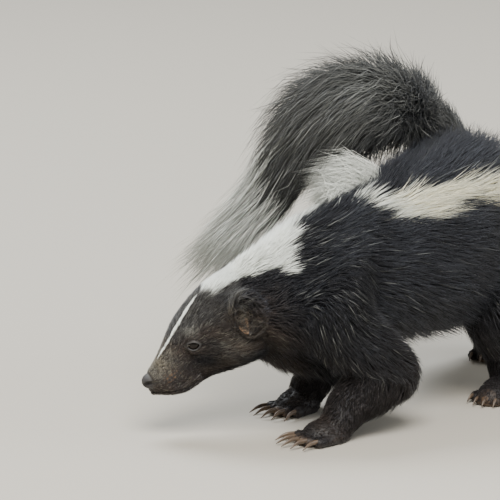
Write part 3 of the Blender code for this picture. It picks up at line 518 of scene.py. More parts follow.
def trunk_form():
    table = smooth_rows(TRUNK, TRUNK_STEPS) * CM
    skin = table[:, 3:5] - table[:, 5:6]
    frames = path_frames(table[:, :3], SIDEWAYS)
    return Form(table[:, :3], frames, skin[:, 0], skin[:, 1], table[:, 5])


def tail_form():
    table = smooth_rows(TAIL, TAIL_STEPS) * CM
    skin = table[:, 3] * TAIL_FLESH
    return Form(table[:, :3], path_frames(table[:, :3], SIDEWAYS), skin, skin, table[:, 4] - skin)


def head_form():
    """The head under its short coat, whose hair runs back from the nose."""
    f, l, u = (np.array(v) for v in head_axes())
    table = smooth_rows([(a, up, 0, w, h, p) for a, up, w, h, p in HEAD], HEAD_STEPS)
    coat = read_rows(HEAD_COAT, table[:, 0])[0]
    centres = np.array(EAR_POINT) + (table[:, :1] * f + table[:, 1:2] * u) * CM
    widths, heights = (table[:, 3] - coat) * CM, (table[:, 4] - coat) * CM
    frames = ([l] * len(centres), [u] * len(centres))
    return Form(centres, frames, widths, heights, coat * CM, -1.0, table[:, 5])


def limb_form(chain):
    """A form along a chain of rounded bones."""
    rows = np.array(chain) * CM
    at = np.linspace(0, len(rows) - 1, LIMB_STEPS * (len(rows) - 1) + 1)
    table = np.array([np.interp(at, range(len(rows)), column) for column in rows.T]).T
    skin = table[:, 3] - table[:, 4]
    form = Form(table[:, :3], path_frames(table[:, :3], LIMB_SIDEWAYS), skin, skin, table[:, 4])
    form.flow[:, 0] += np.linspace(LIMB_BACK, 0.0, len(table))
    return form


def paw_axes(paw):
    """Forward and left unit vectors of a paw, and its heel point."""
    turn = math.radians(paw.heading)
    forward = Vector((math.cos(turn), math.sin(turn), 0))
    return forward, UP.cross(forward), Vector((paw.x, paw.y, 0)) * CM


def paw_form(paw):
    forward, left, heel = paw_axes(paw)
    reach = np.linspace(PAW_START, paw.length + paw.toe, PAW_SECTIONS)[:, None] * CM
    centres = np.array(heel) + reach * np.array(forward) + np.array([0, 0, PAW_MIDDLE * CM])
    sizes = (paw.width * PAW_WIDTH * CM, PAW_HALF_HEIGHT * CM, PAW_COAT * CM)
    frames = ([left] * PAW_SECTIONS, [UP] * PAW_SECTIONS)
    return Form(centres, frames, *(np.full(PAW_SECTIONS, size) for size in sizes))


def make_forms():
    forms = {"trunk": trunk_form(), "head": head_form(), "tail": tail_form()}
    for name, chain in LIMBS.items():
        forms[name] = limb_form(chain)
    for name, paw in PAWS.items():
        forms[f"paw_{name}"] = paw_form(paw)
    return forms


FORMS = make_forms()
FORM_NAMES = list(FORMS)
PAW_FORMS = [name for name in FORM_NAMES if name.startswith("paw")]
LEG_FORMS = [name for name in FORM_NAMES if "front" in name or "rear" in name]
BLEND = 4.0


def read_forms(points):
    """The owner, its section and angle, and the blended lie and depth of the coat at each point."""
    measured = [form.measure(points) for form in FORMS.values()]
    shares = np.array([m[1] for m in measured])
    owner = shares.argmin(axis=0)
    weights = np.exp(-BLEND * (shares - shares.min(axis=0)))
    weights /= weights.sum(axis=0)
    flow = np.zeros((len(points), 3))
    coat = np.zeros(len(points))
    for weight, (near, _, _), form in zip(weights, measured, FORMS.values()):
        flow += weight[:, None] * form.flow[near]
        coat += weight * form.coat[near]
    rows = np.arange(len(points))
    near, angle = (np.array([m[k] for m in measured])[owner, rows] for k in (0, 2))
    return owner, near, angle, flow, coat


def owned_by(owner, *names):
    """Whether each point's form is one of those named."""
    return np.isin(owner, [FORM_NAMES.index(name) for name in names])


def head_place(points):
    """Each point in the head's own axes, in centimetres."""
    f, l, u = (np.array(v) for v in head_axes())
    off = (points - np.array(EAR_POINT)) / CM
    return off @ f, off @ l, off @ u


# Smooth random values: how many sine waves are added, how their lengths vary, and about their peak.
WAVE_COUNT = 6
WAVE_LENGTHS = (0.7, 1.5)
WAVE_PEAK = 3.2


def waves(points, size, seed):
    """A smooth random value from about -1 to 1 at each point, with hills about size apart."""
    rng = np.random.default_rng(seed)
    total = np.zeros(len(points))
    for _ in range(WAVE_COUNT):
        direction = rng.normal(size=3)
        direction /= np.linalg.norm(direction)
        turns = 2 * math.pi / (size * rng.uniform(*WAVE_LENGTHS))
        total += np.sin(points @ direction * turns + rng.uniform(0, 2 * math.pi))
    return total / WAVE_PEAK


def ripple(points, amount, size, seed):
    """A smooth random value of up to about the amount."""
    return amount * waves(points, size, seed)


def bends(points, size, seeds):
    """Smooth random values at each point for the three axes."""
    return np.stack([waves(points, size, seed) for seed in seeds], axis=1)


def ramp(values, low, high):
    """Runs smoothly from 0 at low to 1 at high."""
    t = np.clip((values - low) / (high - low), 0, 1)
    return t * t * (3 - 2 * t)


def between(values, low, high, soft):
    """1 between two edges and 0 beyond them, softly."""
    return ramp(values, low - soft, low + soft) * (1 - ramp(values, high - soft, high + soft))


def spot(x, y, place, size, power=2):
    """1 at a place, and falling to 0 over about the given size in x and y."""
    return np.exp(-(((x - place[0]) / size[0]) ** power) - ((y - place[1]) / size[1]) ** power)


# White markings. Along the trunk: x of the axis, inner and outer edge of the white in degrees from the top.
WHITE_BANDS = (
    (-8.0, -30, 8), (-6.9, -30, 16), (-5.9, -30, 41), (-4.9, -30, 52), (-4.4, -30, 51),
    (-3.9, -30, 31), (-3.2, -30, 4), (-2.4, -30, -8), (0.8, -30, -8), (1.5, -10, 24),
    (2.0, 6, 42), (3.0, 17, 54), (3.7, 23, 52), (5.0, 31, 51), (6.0, 35, 54),
    (8.0, 39, 59), (10.5, 40, 63), (12.5, 38, 62), (14.0, 30, 56), (15.5, 20, 40),
)
# The white of the far side lies this many degrees lower than the near one's: x of the axis, degrees.
FAR_SHIFT = ((-6.5, 30), (-5.0, 8), (-3.0, 0), (3.0, 26), (6.0, 16), (8.0, 8), (12.0, 4))
# Between these places along the axis only the band below marks the far side.
FAR_GAP = ((-2.4, -2.0), (6.0, 7.0))
# Between nape and fork the white lies on the far side of the spine: x of the axis, near and far edge.
SPINE_BAND = ((-4.0, -16, 40), (-3.0, 8, 46), (-1.5, 16, 50), (0.4, 14, 50), (1.0, 20, 50))
SPINE_FADE = 0.5
# Raggedness of these edges: degrees, distance between hills, seed. Then their softness in degrees.
RAGGED = ((5, 0.021, 3), (3, 0.006, 4))
EDGE_DEGREES = 3
# The stripe on the face: along the head, left of its middle, half its width.
STRIPE = (
    (2.4, 0.02, 0.05), (3.2, 0.26, 0.12), (3.8, 0.44, 0.11), (4.6, 0.5, 0.085),
    (5.4, 0.36, 0.07), (6.1, 0.15, 0.055), (6.7, 0.03, 0.04),
)
STRIPE_EDGE = 0.06
STRIPE_RIPPLE = (0.25, 0.005, 6)
# Where the stripe fades in and out, along the head.
STRIPE_FADES = ((2.1, 2.7), (6.3, 6.9))
# The lower edge of the white nape on the head: along the head, above its axis.
NAPE_EDGE = ((-2.4, 1.0), (-0.5, 1.9), (0.6, 2.35), (1.9, 2.6))
NAPE_SOFT = 0.3
NAPE_EDGE_FADE = (-2.4, -0.8)
# It lies lower on the far side, by this much, reached at this distance from the middle.
NAPE_FAR_DROP = 1.4
NAPE_FAR_SIDE = (0.0, 0.8)
# Where the white of nape and back ends on the crown, along the head, and how that edge wavers.
NAPE_START = (1.65, 2.15)
NAPE_RIPPLE = (0.2, 0.01, 5)


def back_white(points):
    """The white of nape and back: both stripes, and the band on the far side of the spine."""
    trunk = FORMS["trunk"]
    near, _, angle = trunk.measure(points)
    x = trunk.centres[near, 0] / CM
    ragged = sum(ripple(points, *row) for row in RAGGED)
    far = read_rows(FAR_SHIFT, x)[0] * (angle > 0)
    degrees = np.degrees(np.abs(angle)) + ragged - far
    band = between(degrees, *read_rows(WHITE_BANDS, x), EDGE_DEGREES)
    band *= 1 - (angle > 0) * ramp(x, *FAR_GAP[0]) * (1 - ramp(x, *FAR_GAP[1]))
    spine = between(np.degrees(angle) + ragged, *read_rows(SPINE_BAND, x), EDGE_DEGREES)
    first, last = SPINE_BAND[0][0], SPINE_BAND[-1][0]
    spine *= ramp(x, first - SPINE_FADE, first) * (1 - ramp(x, last, last + SPINE_FADE))
    return np.maximum(band, spine)


def face_stripe(along, left, up, points):
    """The narrow white stripe down the face."""
    centre, half = read_rows(STRIPE, along)
    half = half * (1 + ripple(points, *STRIPE_RIPPLE))
    stripe = (1 - ramp(np.abs(left - centre), half, half + STRIPE_EDGE)) * (up > 0)
    return stripe * ramp(along, *STRIPE_FADES[0]) * (1 - ramp(along, *STRIPE_FADES[1]))


def markings(points):
    """How white the coat is at each point, from 0 to 1."""
    along, left, up = head_place(points)
    behind = 1 - ramp(along + ripple(points, *NAPE_RIPPLE), *NAPE_START)
    floor = read_rows(NAPE_EDGE, along)[0] - NAPE_FAR_DROP * ramp(-left, *NAPE_FAR_SIDE)
    low = 1 - ramp(up, floor - NAPE_SOFT, floor + NAPE_SOFT)
    body = back_white(points) * behind * (1 - low * ramp(along, *NAPE_EDGE_FADE))
    return np.maximum(body, face_stripe(along, left, up, points))


# Paler hair on top of the bridge of the nose, which is a painted sheen, and on the crown: amount, from and
# to along, from and to above.
BRIDGE_SHEEN_AND_CROWN_FROST = ((0.17, (5.2, 7.0), (-0.6, 0.3)), (0.035, (-0.5, 1.0), (0.9, 1.8)))
# Paler hair on the cheek and over the eye: amount, place along and above, size each way.
FROST_SPOTS = ((0.05, (2.4, -0.3), (1.5, 0.9)), (0.2, (4.25, 1.5), (0.3, 0.17)))
FROST_EARS = 0.05
# Painted shade on the hair of the head, under the eye beneath the cheek and along the underside of the jaw:
# places and sizes, or ends of the ramps.
UNDER_EYE = ((4.5, -0.3), (1.1, 0.6))
JAW = ((0.0, 2.0), (-2.0, -1.1))


def frost_and_sheen(points):
    """How pale the dark hair of the head is: greyer with a painted sheen on top of the bridge of the nose,
    and greyer on brow and cheek.
    """
    along, _, up = head_place(points)
    pale = FROST_EARS * ear_fluff(points)
    # The first ramp is a painted sheen on top of the bridge of the nose. The second is frost on the crown.
    for amount, ahead, above in BRIDGE_SHEEN_AND_CROWN_FROST:
        pale += amount * ramp(along, *ahead) * ramp(up, *above)
    for amount, place, size in FROST_SPOTS:
        pale += amount * spot(along, up, place, size)
    return pale


def painted_shade(points):
    """Where painted shade darkens the hair of the head: under the eye beneath the cheek, and along the
    underside of the jaw.
    """
    along, _, up = head_place(points)
    jaw = ramp(along, *JAW[0]) * (1 - ramp(up, *JAW[1]))
    return np.maximum(spot(along, up, *UNDER_EYE), jaw)


# The skin.
def scaled(lengths):
    """Lengths in centimetres as metres."""
    return [length * CM for length in lengths]


def eye_frame(side):
    """Centre of an eyeball, with the long axis of its opening, the outward and the upright one."""
    along, left, up = EYE_CENTRE
    return on_head(along, left * side, up), *side_axes(side, EYE_OUT_AXIS, EYE_LONG_AXIS)


def eyelids(side):
    """A round shell over the eyeball, which the opening is cut from."""
    centre, ahead, out, across = eye_frame(side)
    radius = EYE_RADIUS + EYE_GAP + LID_THICKNESS
    return ellipsoid("lids", centre, (ahead, across, out), [radius * CM] * 3)


def opening(side):
    """A cutter with the almond outline of the opening between the lids."""
    centre, ahead, out, across = eye_frame(side)
    count = OPENING_POINTS
    points = []
    for depth in OPENING_DEPTHS:
        for k in range(count):
            turn = 2 * math.pi * k / count
            a = OPENING[0] * math.cos(turn)
            h = OPENING[1] * math.sin(turn) * abs(math.sin(turn)) ** OPENING_ALMOND
            points.append(centre + (ahead * a + across * h + out * depth) * CM)
    faces = [tuple(range(count)), tuple(range(count, 2 * count))]
    for k in range(count):
        n = (k + 1) % count
        faces.append((k, n, count + n, count + k))
    return mesh_object("opening", points, faces)


def mouth_tube(name, lift, outward, radius):
    """A round tube along the line of the mouth, from one corner round the front to the other."""
    rows = [(a, left + outward, up + lift) for a, left, up in MOUTH[1:]]
    front = (MOUTH[0][0], 0.0, MOUTH[0][2] + lift)
    other = [(a, -left, up) for a, left, up in reversed(rows)]
    points = [on_head(*row) for row in smooth_rows(other + [front] + rows, MOUTH_STEPS)]
    centres = np.array([tuple(p) for p in points])
    sides, ups = path_frames(centres, np.array(head_axes()[0]) * LIP_TILT + np.array(LIP_UP))
    radii = np.full(len(centres), radius * CM)
    return loft(name, centres, sides, ups, radii, radii, TUBE_SIDES)


def ear_frame(side):
    """Centre of an ear, with its lengthwise, outward and cross axes."""
    (along, left, up), long_axis = EARS[side]
    return on_head(along, left * side, up), *side_axes(side, EAR_OUT_AXIS, long_axis)


def ear_bowl(side):
    """A cupped ear that opens outward and forward."""
    centre, length, out, across = ear_frame(side)
    axes = (length, across, out)
    radii = scaled(EAR_RADII)
    ear = ellipsoid("ear", centre, axes, radii)
    radii = [r - EAR_WALL * CM for r in radii]
    return boolean(ear, "DIFFERENCE", [ellipsoid("hollow", centre + out * (EAR_HOLLOW * CM), axes, radii)])


def head_shapes():
    """The shapes that the head is made of, before its openings are cut."""
    shapes = [FORMS["head"].solid("head", HEAD_SIDES)]
    shapes.append(ellipsoid("nose", on_head(*NOSE_CENTRE), head_axes(), scaled(NOSE_RADII)))
    shapes += [mouth_tube("lip", *row) for row in LIPS]
    for side in SIDES:
        shapes += [eyelids(side), ear_bowl(side)]
        for name, (along, left, up), radii in HEAD_FORMS:
            shapes.append(ellipsoid(name, on_head(along, left * side, up), head_axes(), scaled(radii)))
    return shapes


def head_cuts():
    """What is cut from the head: the line of the mouth, eye sockets, openings and nostrils."""
    cuts = [mouth_tube("mouth", *MOUTH_CUT)]
    for side in SIDES:
        socket = (EYE_RADIUS + EYE_GAP) * CM
        cuts.append(ellipsoid("socket", eye_frame(side)[0], head_axes(), [socket] * 3, *FINE_SPHERE))
        cuts.append(opening(side))
        for near, far, radius in NOSTRILS:
            ends = [on_head(along, left * side, up) for along, left, up in (near, far)]
            cuts.append(bone(*ends, radius * CM, radius * NOSTRIL_TAPER * CM, SMALL_SIDES))
    return cuts


def head_skin():
    """The head with ears, lids, lips, nose, nostrils and the line of the mouth."""
    head = melt(join("head_skin", head_shapes()), HEAD_VOXEL, HEAD_SMOOTHING)
    return boolean(head, "DIFFERENCE", head_cuts())


def chain_bones(chain):
    """A rounded bone between each pair of points in a chain, under the coat."""
    made = []
    for a, b in zip(chain, chain[1:]):
        ends = [np.array(p[:3]) * CM for p in (a, b)]
        made.append(bone(*ends, (a[3] - a[4]) * CM, (b[3] - b[4]) * CM, LIMB_SIDES))
    return made


def relax_shoulders(skin):
    """Smooths the skin strongly around the shoulders only."""
    points = vertex_points(skin.data)
    group = skin.vertex_groups.new(name="shoulders")
    share = np.zeros(len(points))
    for centre in SHOULDERS:
        gap = np.linalg.norm(points / CM - np.array(centre), axis=1)
        share = np.maximum(share, 1 - ramp(gap, *SHOULDER_REACH))
    for level in range(1, SHOULDER_LEVELS + 1):
        inside = np.flatnonzero(np.ceil(share * SHOULDER_LEVELS) == level)
        group.add([int(k) for k in inside], level / SHOULDER_LEVELS, "REPLACE")
    add_smoothing(skin, SHOULDER_SMOOTHING).vertex_group = group.name
    return freeze(skin)


def body_skin():
    shapes = [FORMS["trunk"].solid("trunk", TRUNK_SIDES), FORMS["tail"].solid("tail", TAIL_SIDES)]
    for chain in (*LIMBS.values(), SHOULDER_FILL):
        shapes += chain_bones(chain)
    return relax_shoulders(melt(join("body_skin", shapes), BODY_VOXEL, BODY_SMOOTHING))


def toe_bases(paw):
    """For each toe of a paw: knuckle, end of the toe and the direction it points."""
    forward, left, heel = paw_axes(paw)
    for k in range(TOES):
        spread = (k - (TOES - 1) / 2) / ((TOES - 1) / 2)
        ahead = Matrix.Rotation(TOE_FAN * spread, 3, "Z") @ forward
        reach = paw.length * (TOE_ROW[0] - TOE_ROW[1] * spread**2)
        knuckle = heel + forward * (reach * KNUCKLE[0] * CM) + left * (paw.width * KNUCKLE[1] * spread * CM)
        start = knuckle + UP * (KNUCKLE[2] * CM)
        yield start, start + ahead * (paw.toe * CM) + UP * (TOE_RISE * CM), ahead


def paw_skin(name):
    """Palm, wrist, toes with their pads, flat at the floor."""
    paw = PAWS[name]
    forward, left, heel = paw_axes(paw)
    centre = heel + forward * (paw.length * PALM_PLACE[0] * CM) + UP * (PALM_HEIGHT * PALM_PLACE[1] * CM)
    sizes = (paw.length, paw.width, PALM_HEIGHT)
    radii = [size * share * CM for size, share in zip(sizes, PALM_SHARES)]
    shapes = [ellipsoid("palm", centre, (forward, left, UP), radii)]
    above, end = LIMBS[name][-2:]
    wrist = tuple(end[k] + (above[k] - end[k]) * WRIST_SHARE for k in range(5))
    shapes += chain_bones((wrist, end))
    for start, end, ahead in toe_bases(paw):
        shapes.append(bone(start, end, TOE_RADIUS * CM, TOE_RADIUS * TOE_TAPER * CM, SMALL_SIDES))
        pad = end - ahead * (PAD_PLACE[0] * CM) - UP * (PAD_PLACE[1] * CM)
        axes = (ahead, UP.cross(ahead), UP)
        shapes.append(ellipsoid("pad", pad, axes, scaled(PAD_RADII), *COARSE_SPHERE))
    made = melt(join("paw", shapes), PAW_VOXEL, PAW_SMOOTHING)
    with edited(made.data) as grid:
        for vert in grid.verts:
            vert.co.z = max(vert.co.z, FLOOR_CLEAR)
    return made


def make_skin():
    """One closed skin for the whole animal."""
    skin = body_skin()
    boolean(skin, "UNION", [head_skin()])
    boolean(skin, "UNION", [paw_skin(name) for name in PAWS])
    with edited(skin.data) as grid:
        bmesh.ops.triangulate(grid, faces=grid.faces)
    skin.name = "skin"
    skin.data.shade_smooth()
    return skin


# Bare skin. The nose in the head's axes: centre, sizes, edges, and its grey: the least of it, more on top
# as a painted sheen, and where that begins.
BARE_NOSE = ((7.85, 0.0, -0.14), (0.55, 0.7, 0.52))
NOSE_EDGE = (0.85, 1.1)
NOSE_GREY_AND_SHEEN = (0.03, 0.3, (-0.1, 0.3))
# Lids: their rim as a share of the opening, reach from the eye, grey, and a painted highlight that makes
# the rim lighter below and ahead.
LID_RIM = (1.14, 1.34)
LID_REACH = 0.9
LID_GREY = (0.12, 0.45)
LID_HIGHLIGHT = ((0.05, -0.2), (-0.35, 0.1))
# The corner of the eye, in the same axes: place and size, and how bare and grey it is.
EYE_CORNER = ((0.6, -0.08), (0.17, 0.1))
CORNER_BARE = 0.6
# In the ear's own axes: place and size of the canal and of the pink notch, which has squarer edges.
CANAL = ((0.15, -0.55), (0.34, 0.22))
CANAL_EDGE = (0.3, 0.7)
NOTCH = ((-0.78, -0.36), (0.6, 0.27), 4)
NOTCH_EDGE = (0.2, 0.6)
# The hollow of the ear is taken this much wider, with this edge and reach.
BOWL_ROOM = 0.03
BOWL_EDGE = (0.99, 1.05)
BOWL_REACH = 1.6
# The whisker pad: place and sizes, how far out it begins, how bare, and its pink specks.
WHISKER_PAD = ((6.4, -0.35), (0.75, 0.5))
WHISKER_OUT = (0.5, 0.9)
WHISKER_BARE = 0.5
SPECK_WAVES = (0.0024, 31)
SPECK_EDGE = (0.15, 0.5)
SPECK_PINK = 0.9
# Soles by height in metres, and toes by the paw form's sections, with how bare and pink they are.
SOLE = (0.0015, 0.004)
TOE_SECTIONS = (6.5, 10.0)
TOE_BARE = 0.75
TOE_PINK = 0.45


def ear_place(points, side):
    """Each point in the axes of one ear, and whether it lies in the hollow of that ear."""
    centre, length, out, across = (np.array(v) for v in ear_frame(side))
    off = (points - centre) / CM
    hollow = off - out * EAR_HOLLOW
    radii = [r - EAR_WALL + BOWL_ROOM for r in EAR_RADII]
    bowl = sum((hollow @ axis / radius) ** 2 for axis, radius in zip((length, across, out), radii))
    inside = (1 - ramp(np.sqrt(bowl), *BOWL_EDGE)) * (np.linalg.norm(hollow, axis=1) < BOWL_REACH)
    return off @ length, off @ across * side, inside


def bare_nose(points):
    place = (np.stack(head_place(points), axis=1) - BARE_NOSE[0]) / BARE_NOSE[1]
    bare = 1 - ramp(np.linalg.norm(place, axis=1), *NOSE_EDGE)
    low, more, edge = NOSE_GREY_AND_SHEEN
    # The grey rises towards the top of the nose: a painted sheen.
    return bare, 0 * bare, bare * (low + more * ramp(head_place(points)[2], *edge))


def bare_lids(points, side):
    centre, ahead, out, across = (np.array(v) for v in eye_frame(side))
    off = (points - centre) / CM
    a, h = off @ ahead, off @ across
    rim = np.sqrt((a / OPENING[0]) ** 2 + (h / OPENING[1]) ** 2)
    near = (off @ out > 0) & (np.linalg.norm(off, axis=1) < LID_REACH)
    lids = (1 - ramp(rim, *LID_RIM)) * near
    # A painted highlight along the wet rim of the lower lid, lighter below and ahead.
    light = ramp(h, *LID_HIGHLIGHT[0]) * ramp(a, *LID_HIGHLIGHT[1])
    corner = CORNER_BARE * spot(a, h, *EYE_CORNER) * near
    grey = lids * (LID_GREY[0] + LID_GREY[1] * light)
    return np.maximum(lids, corner), 0 * lids, np.maximum(grey, corner)


def bare_ear(points, side):
    length, across, inside = ear_place(points, side)
    canal = ramp(spot(length, across, *CANAL), *CANAL_EDGE)
    notch = ramp(spot(length, across, *NOTCH), *NOTCH_EDGE)
    return inside * np.maximum(canal, notch), inside * notch, 0 * notch


def bare_whisker_pad(points):
    along, left, up = head_place(points)
    pad = spot(along, up, *WHISKER_PAD) * ramp(np.abs(left), *WHISKER_OUT)
    specks = ramp(waves(points, *SPECK_WAVES), *SPECK_EDGE) * pad
    return WHISKER_BARE * pad, SPECK_PINK * specks, 0 * pad


def bare_paws(points):
    owner, near = read_forms(points)[:2]
    soles = 1 - ramp(points[:, 2], *SOLE)
    toes = owned_by(owner, *PAW_FORMS) * ramp(near.astype(float), *TOE_SECTIONS)
    return np.maximum(soles, TOE_BARE * toes), TOE_PINK * toes, 0 * toes


def bareness(points):
    """Per point: how bare of hair (nose, lids, ear canal, pads), how pink and how grey it is. The grey
    holds a painted sheen on top of the nose and a painted highlight on the lids' rim below and ahead.
    """
    layers = [bare_nose(points), bare_whisker_pad(points), bare_paws(points)]
    for side in SIDES:
        layers += [bare_lids(points, side), bare_ear(points, side)]
    return np.max(layers, axis=0)


# Brown of the dark hair: where it begins along the head, its mean and ripple, and what lessens it.
WARM_FROM = (-2.4, 1.0)
WARM_MEAN = 0.75
WARM_RIPPLE = (0.25, 0.012, 8)
CROWN = (0.9, 1.8)
CROWN_LESS = 0.7
SHADE_LESS = 0.8
# On the legs: the most of it, and the heights that it fades out between, in metres.
LEG_WARMTH = 0.3
LEG_LOW = (0.03, 0.09)
# Cream of the white hair: the most of it, and between which x it sets in.
CREAM_MOST = 0.9
CREAM_FROM = (-1.0, 3.0)


def warmth(points):
    """How brown the dark hair is: brown on the head and legs, black on the body."""
    owner = read_forms(points)[0]
    along, _, up = head_place(points)
    warm = ramp(along, *WARM_FROM) * (WARM_MEAN + ripple(points, *WARM_RIPPLE))
    # Less brown on the crown, and less under the painted shade of the head.
    warm *= (1 - CROWN_LESS * ramp(up, *CROWN)) * (1 - SHADE_LESS * painted_shade(points))
    low = 1 - ramp(points[:, 2], *LEG_LOW)
    return np.clip(np.maximum(warm, LEG_WARMTH * owned_by(owner, *LEG_FORMS) * low), 0, 1)


def cream(points):
    """How creamy the white hair is: more on the stripes of the back than on head and nape."""
    return CREAM_MOST * ramp(points[:, 0] / CM, *CREAM_FROM)


def paint_skin(skin):
    points = vertex_points(skin.data)
    bare, pink, grey = bareness(points)
    # The grey carries the painted sheen on the nose and the painted highlight on the lids.
    white = np.maximum(markings(points) * (1 - bare), grey)
    values = np.stack([white, warmth(points), bare, pink], axis=1)
    layer = skin.data.attributes.new("coat", "FLOAT_COLOR", "POINT")
    layer.data.foreach_set("color", values.ravel())


# The coat. Each kind: how many tufts, rings along each, width in centimetres, length for the coat's
# depth, and how much it clumps. The ruffle's lengths have values of their own.
COATS = {
    "body": {"count": 60000, "rings": 2, "width": 0.06, "reach": 1.9, "clump": 0.3},
    "short": {"count": 15000, "rings": 2, "width": 0.055, "reach": 2.0, "clump": 0.2},
    "head": {"count": 36000, "rings": 2, "width": 0.034, "reach": 2.6, "clump": 0.15},
    "tail": {"count": 20000, "rings": 3, "width": 0.055, "reach": 1.6, "clump": 0.22},
    "ruffle": {"count": 2600, "rings": 3, "width": 0.05, "clump": 0.45},
}
MOST_TRIANGLES = 180000
# A coat deeper than this belongs to the long hair of the body.
LONG_COAT = 0.65 * CM
# Tufts to a clump, and how late along a tuft it bends to its clump.
CLUMP_SIZE = 10
CLUMP_POWER = 1.5
# How far a root lies under the skin, in metres.
SINK = 0.0003
# How much the lie of the hair sags and wavers, and the hills and seeds of that wavering.
SAG = 0.3
LIE_BEND = 0.22
LIE_BENDS = (0.03, (11, 12, 13))
# The hair on and round the ears is this much longer, higher and more ruffled than the head's.
EAR_FLUFF = (0.91, 1.3)
EAR_LONGER = 0.1
EAR_HIGHER = 0.45
EAR_RUFFLED = 2.0
# How tufts vary: mean, spread, least and most.
LENGTHS = (1, 0.14, 0.6, 1.35)
HEIGHTS = (0.86, 0.16, 0.3, 1.15)
WIDTHS = (1, 0.2, 0.5, 1.6)
# What is added to every length, and how far tufts turn from the lie of the coat.
LEAST_REACH = 0.06
TURNING = 0.16
# How a tuft rises from root to tip, and the most that it may gain in depth on its way.
RISE_POWER = 0.8
DEPTH_GAIN = 1.3
# Fuller hair where it hangs and on top of the rump: amount, and ends of the ramps.
HANGING = (0.3, (0.1, 0.8))
RUMP = (0.25, (0.05, 0.09), (0.3, 0.8))


def skin_samples(skin, count, density, rng):
    """Points spread over the skin, as many in each place as the density asks, with their normals."""
    mesh = skin.data
    faces = np.empty(len(mesh.polygons) * 3, np.int32)
    mesh.polygons.foreach_get("vertices", faces)
    corners = vertex_points(mesh)[faces.reshape(-1, 3)]
    cross = np.cross(corners[:, 1] - corners[:, 0], corners[:, 2] - corners[:, 0])
    area = np.linalg.norm(cross, axis=1) / 2
    share = area * density(corners.mean(axis=1))
    picked = rng.choice(len(corners), count, p=share / share.sum())
    a, b = rng.random(count), rng.random(count)
    fold = a + b > 1
    a[fold], b[fold] = 1 - a[fold], 1 - b[fold]
    first, second, third = (corners[picked, k] for k in range(3))
    roots = first + (second - first) * a[:, None] + (third - first) * b[:, None]
    return roots, cross[picked] / (2 * area[picked, None] + TINY_AREA)


def unit(vectors):
    return vectors / (np.linalg.norm(vectors, axis=-1, keepdims=True) + TINY)


def varied(rng, count, mean, spread, least, most):
    """Random values round a mean, kept between the least and the most."""
    return np.clip(rng.normal(mean, spread, count), least, most)


def lie(points, normals):
    """Which way the hair lies at each point of the skin, and how deep the coat is."""
    owner, near, angle, flow, coat = read_forms(points)
    flow = unit(flow)
    flow[:, 2] -= SAG * ~owned_by(owner, "head")
    flow += LIE_BEND * bends(points, *LIE_BENDS)
    flow -= normals * (flow * normals).sum(axis=1)[:, None]
    return unit(flow), coat, owner, near, angle


def ear_fluff(points):
    """How near each point is to an ear, from 0 to 1."""
    gaps = [np.linalg.norm(points - np.array(ear_frame(side)[0]), axis=1) / CM for side in EARS]
    return 1 - ramp(np.minimum(*gaps), *EAR_FLUFF)


def walk(tree, roots, normals, reach, rings, turn):
    """Points on the skin under each tuft, and the skin's normals there, from root to tip."""
    bases, ups = [roots], [normals]
    for _ in range(rings):
        flow = lie(bases[-1], ups[-1])[0]
        ahead = bases[-1] + unit(flow + turn) * (reach / rings)[:, None]
        found = [tree.find_nearest(Vector(p)) for p in ahead]
        bases.append(np.array([f[0] for f in found]))
        ups.append(np.array([f[1] for f in found]))
    return bases, ups


def clumped(paths, roots, amount):
    """Draws each tuft towards the nearest leading one, more towards the tip."""
    leaders = np.arange(0, len(roots), CLUMP_SIZE)
    tree = KDTree(len(leaders))
    for place, leader in enumerate(leaders):
        tree.insert(Vector(roots[leader]), place)
    tree.balance()
    own = np.array([leaders[tree.find(Vector(root))[1]] for root in roots])
    steps = paths.shape[1] - 1
    for k in range(1, steps + 1):
        paths[:, k] += (paths[own, k] - paths[:, k]) * (amount * (k / steps) ** CLUMP_POWER)
    return paths


# A tuft's width at each ring, its height for half its width, and its size on the unwrap.
TAPER = (0.75, 1.0, 0.8)
TUFT_HEIGHT = 0.8
PATCH = 0.003
# The unwrap has a tile for each form, so many to a row, with a margin.
TILES = 4
TILE_MARGIN = 0.04


def tuft_corners(paths, ups, widths):
    """Three corners round each ring of each tuft, and one at its tip."""
    count, steps = paths.shape[:2]
    rings = steps - 1
    along = unit(np.gradient(paths, axis=1))
    across = unit(np.cross(along, ups))
    lift = np.cross(across, along)
    corners = np.zeros((count, rings * 3 + 1, 3))
    for k in range(rings):
        w = (widths * TAPER[k] / 2)[:, None]
        corners[:, k * 3] = paths[:, k] + across[:, k] * w
        corners[:, k * 3 + 1] = paths[:, k] - across[:, k] * w
        corners[:, k * 3 + 2] = paths[:, k] + lift[:, k] * (w * TUFT_HEIGHT)
    corners[:, -1] = paths[:, -1]
    return corners


def tuft_faces(count, rings):
    """The triangles of all tufts: sides between the rings, the tip and the closed root."""
    pattern = []
    for k in range(rings - 1):
        for j in range(3):
            a, b = k * 3 + j, k * 3 + (j + 1) % 3
            pattern += [(a, b, b + 3), (a, b + 3, a + 3)]
    tip = rings * 3
    pattern += [(tip - 3 + j, tip - 3 + (j + 1) % 3, tip) for j in range(3)]
    pattern.append((0, 2, 1))
    return (np.array(pattern)[None] + (np.arange(count) * (tip + 1))[:, None, None]).reshape(-1, 3)


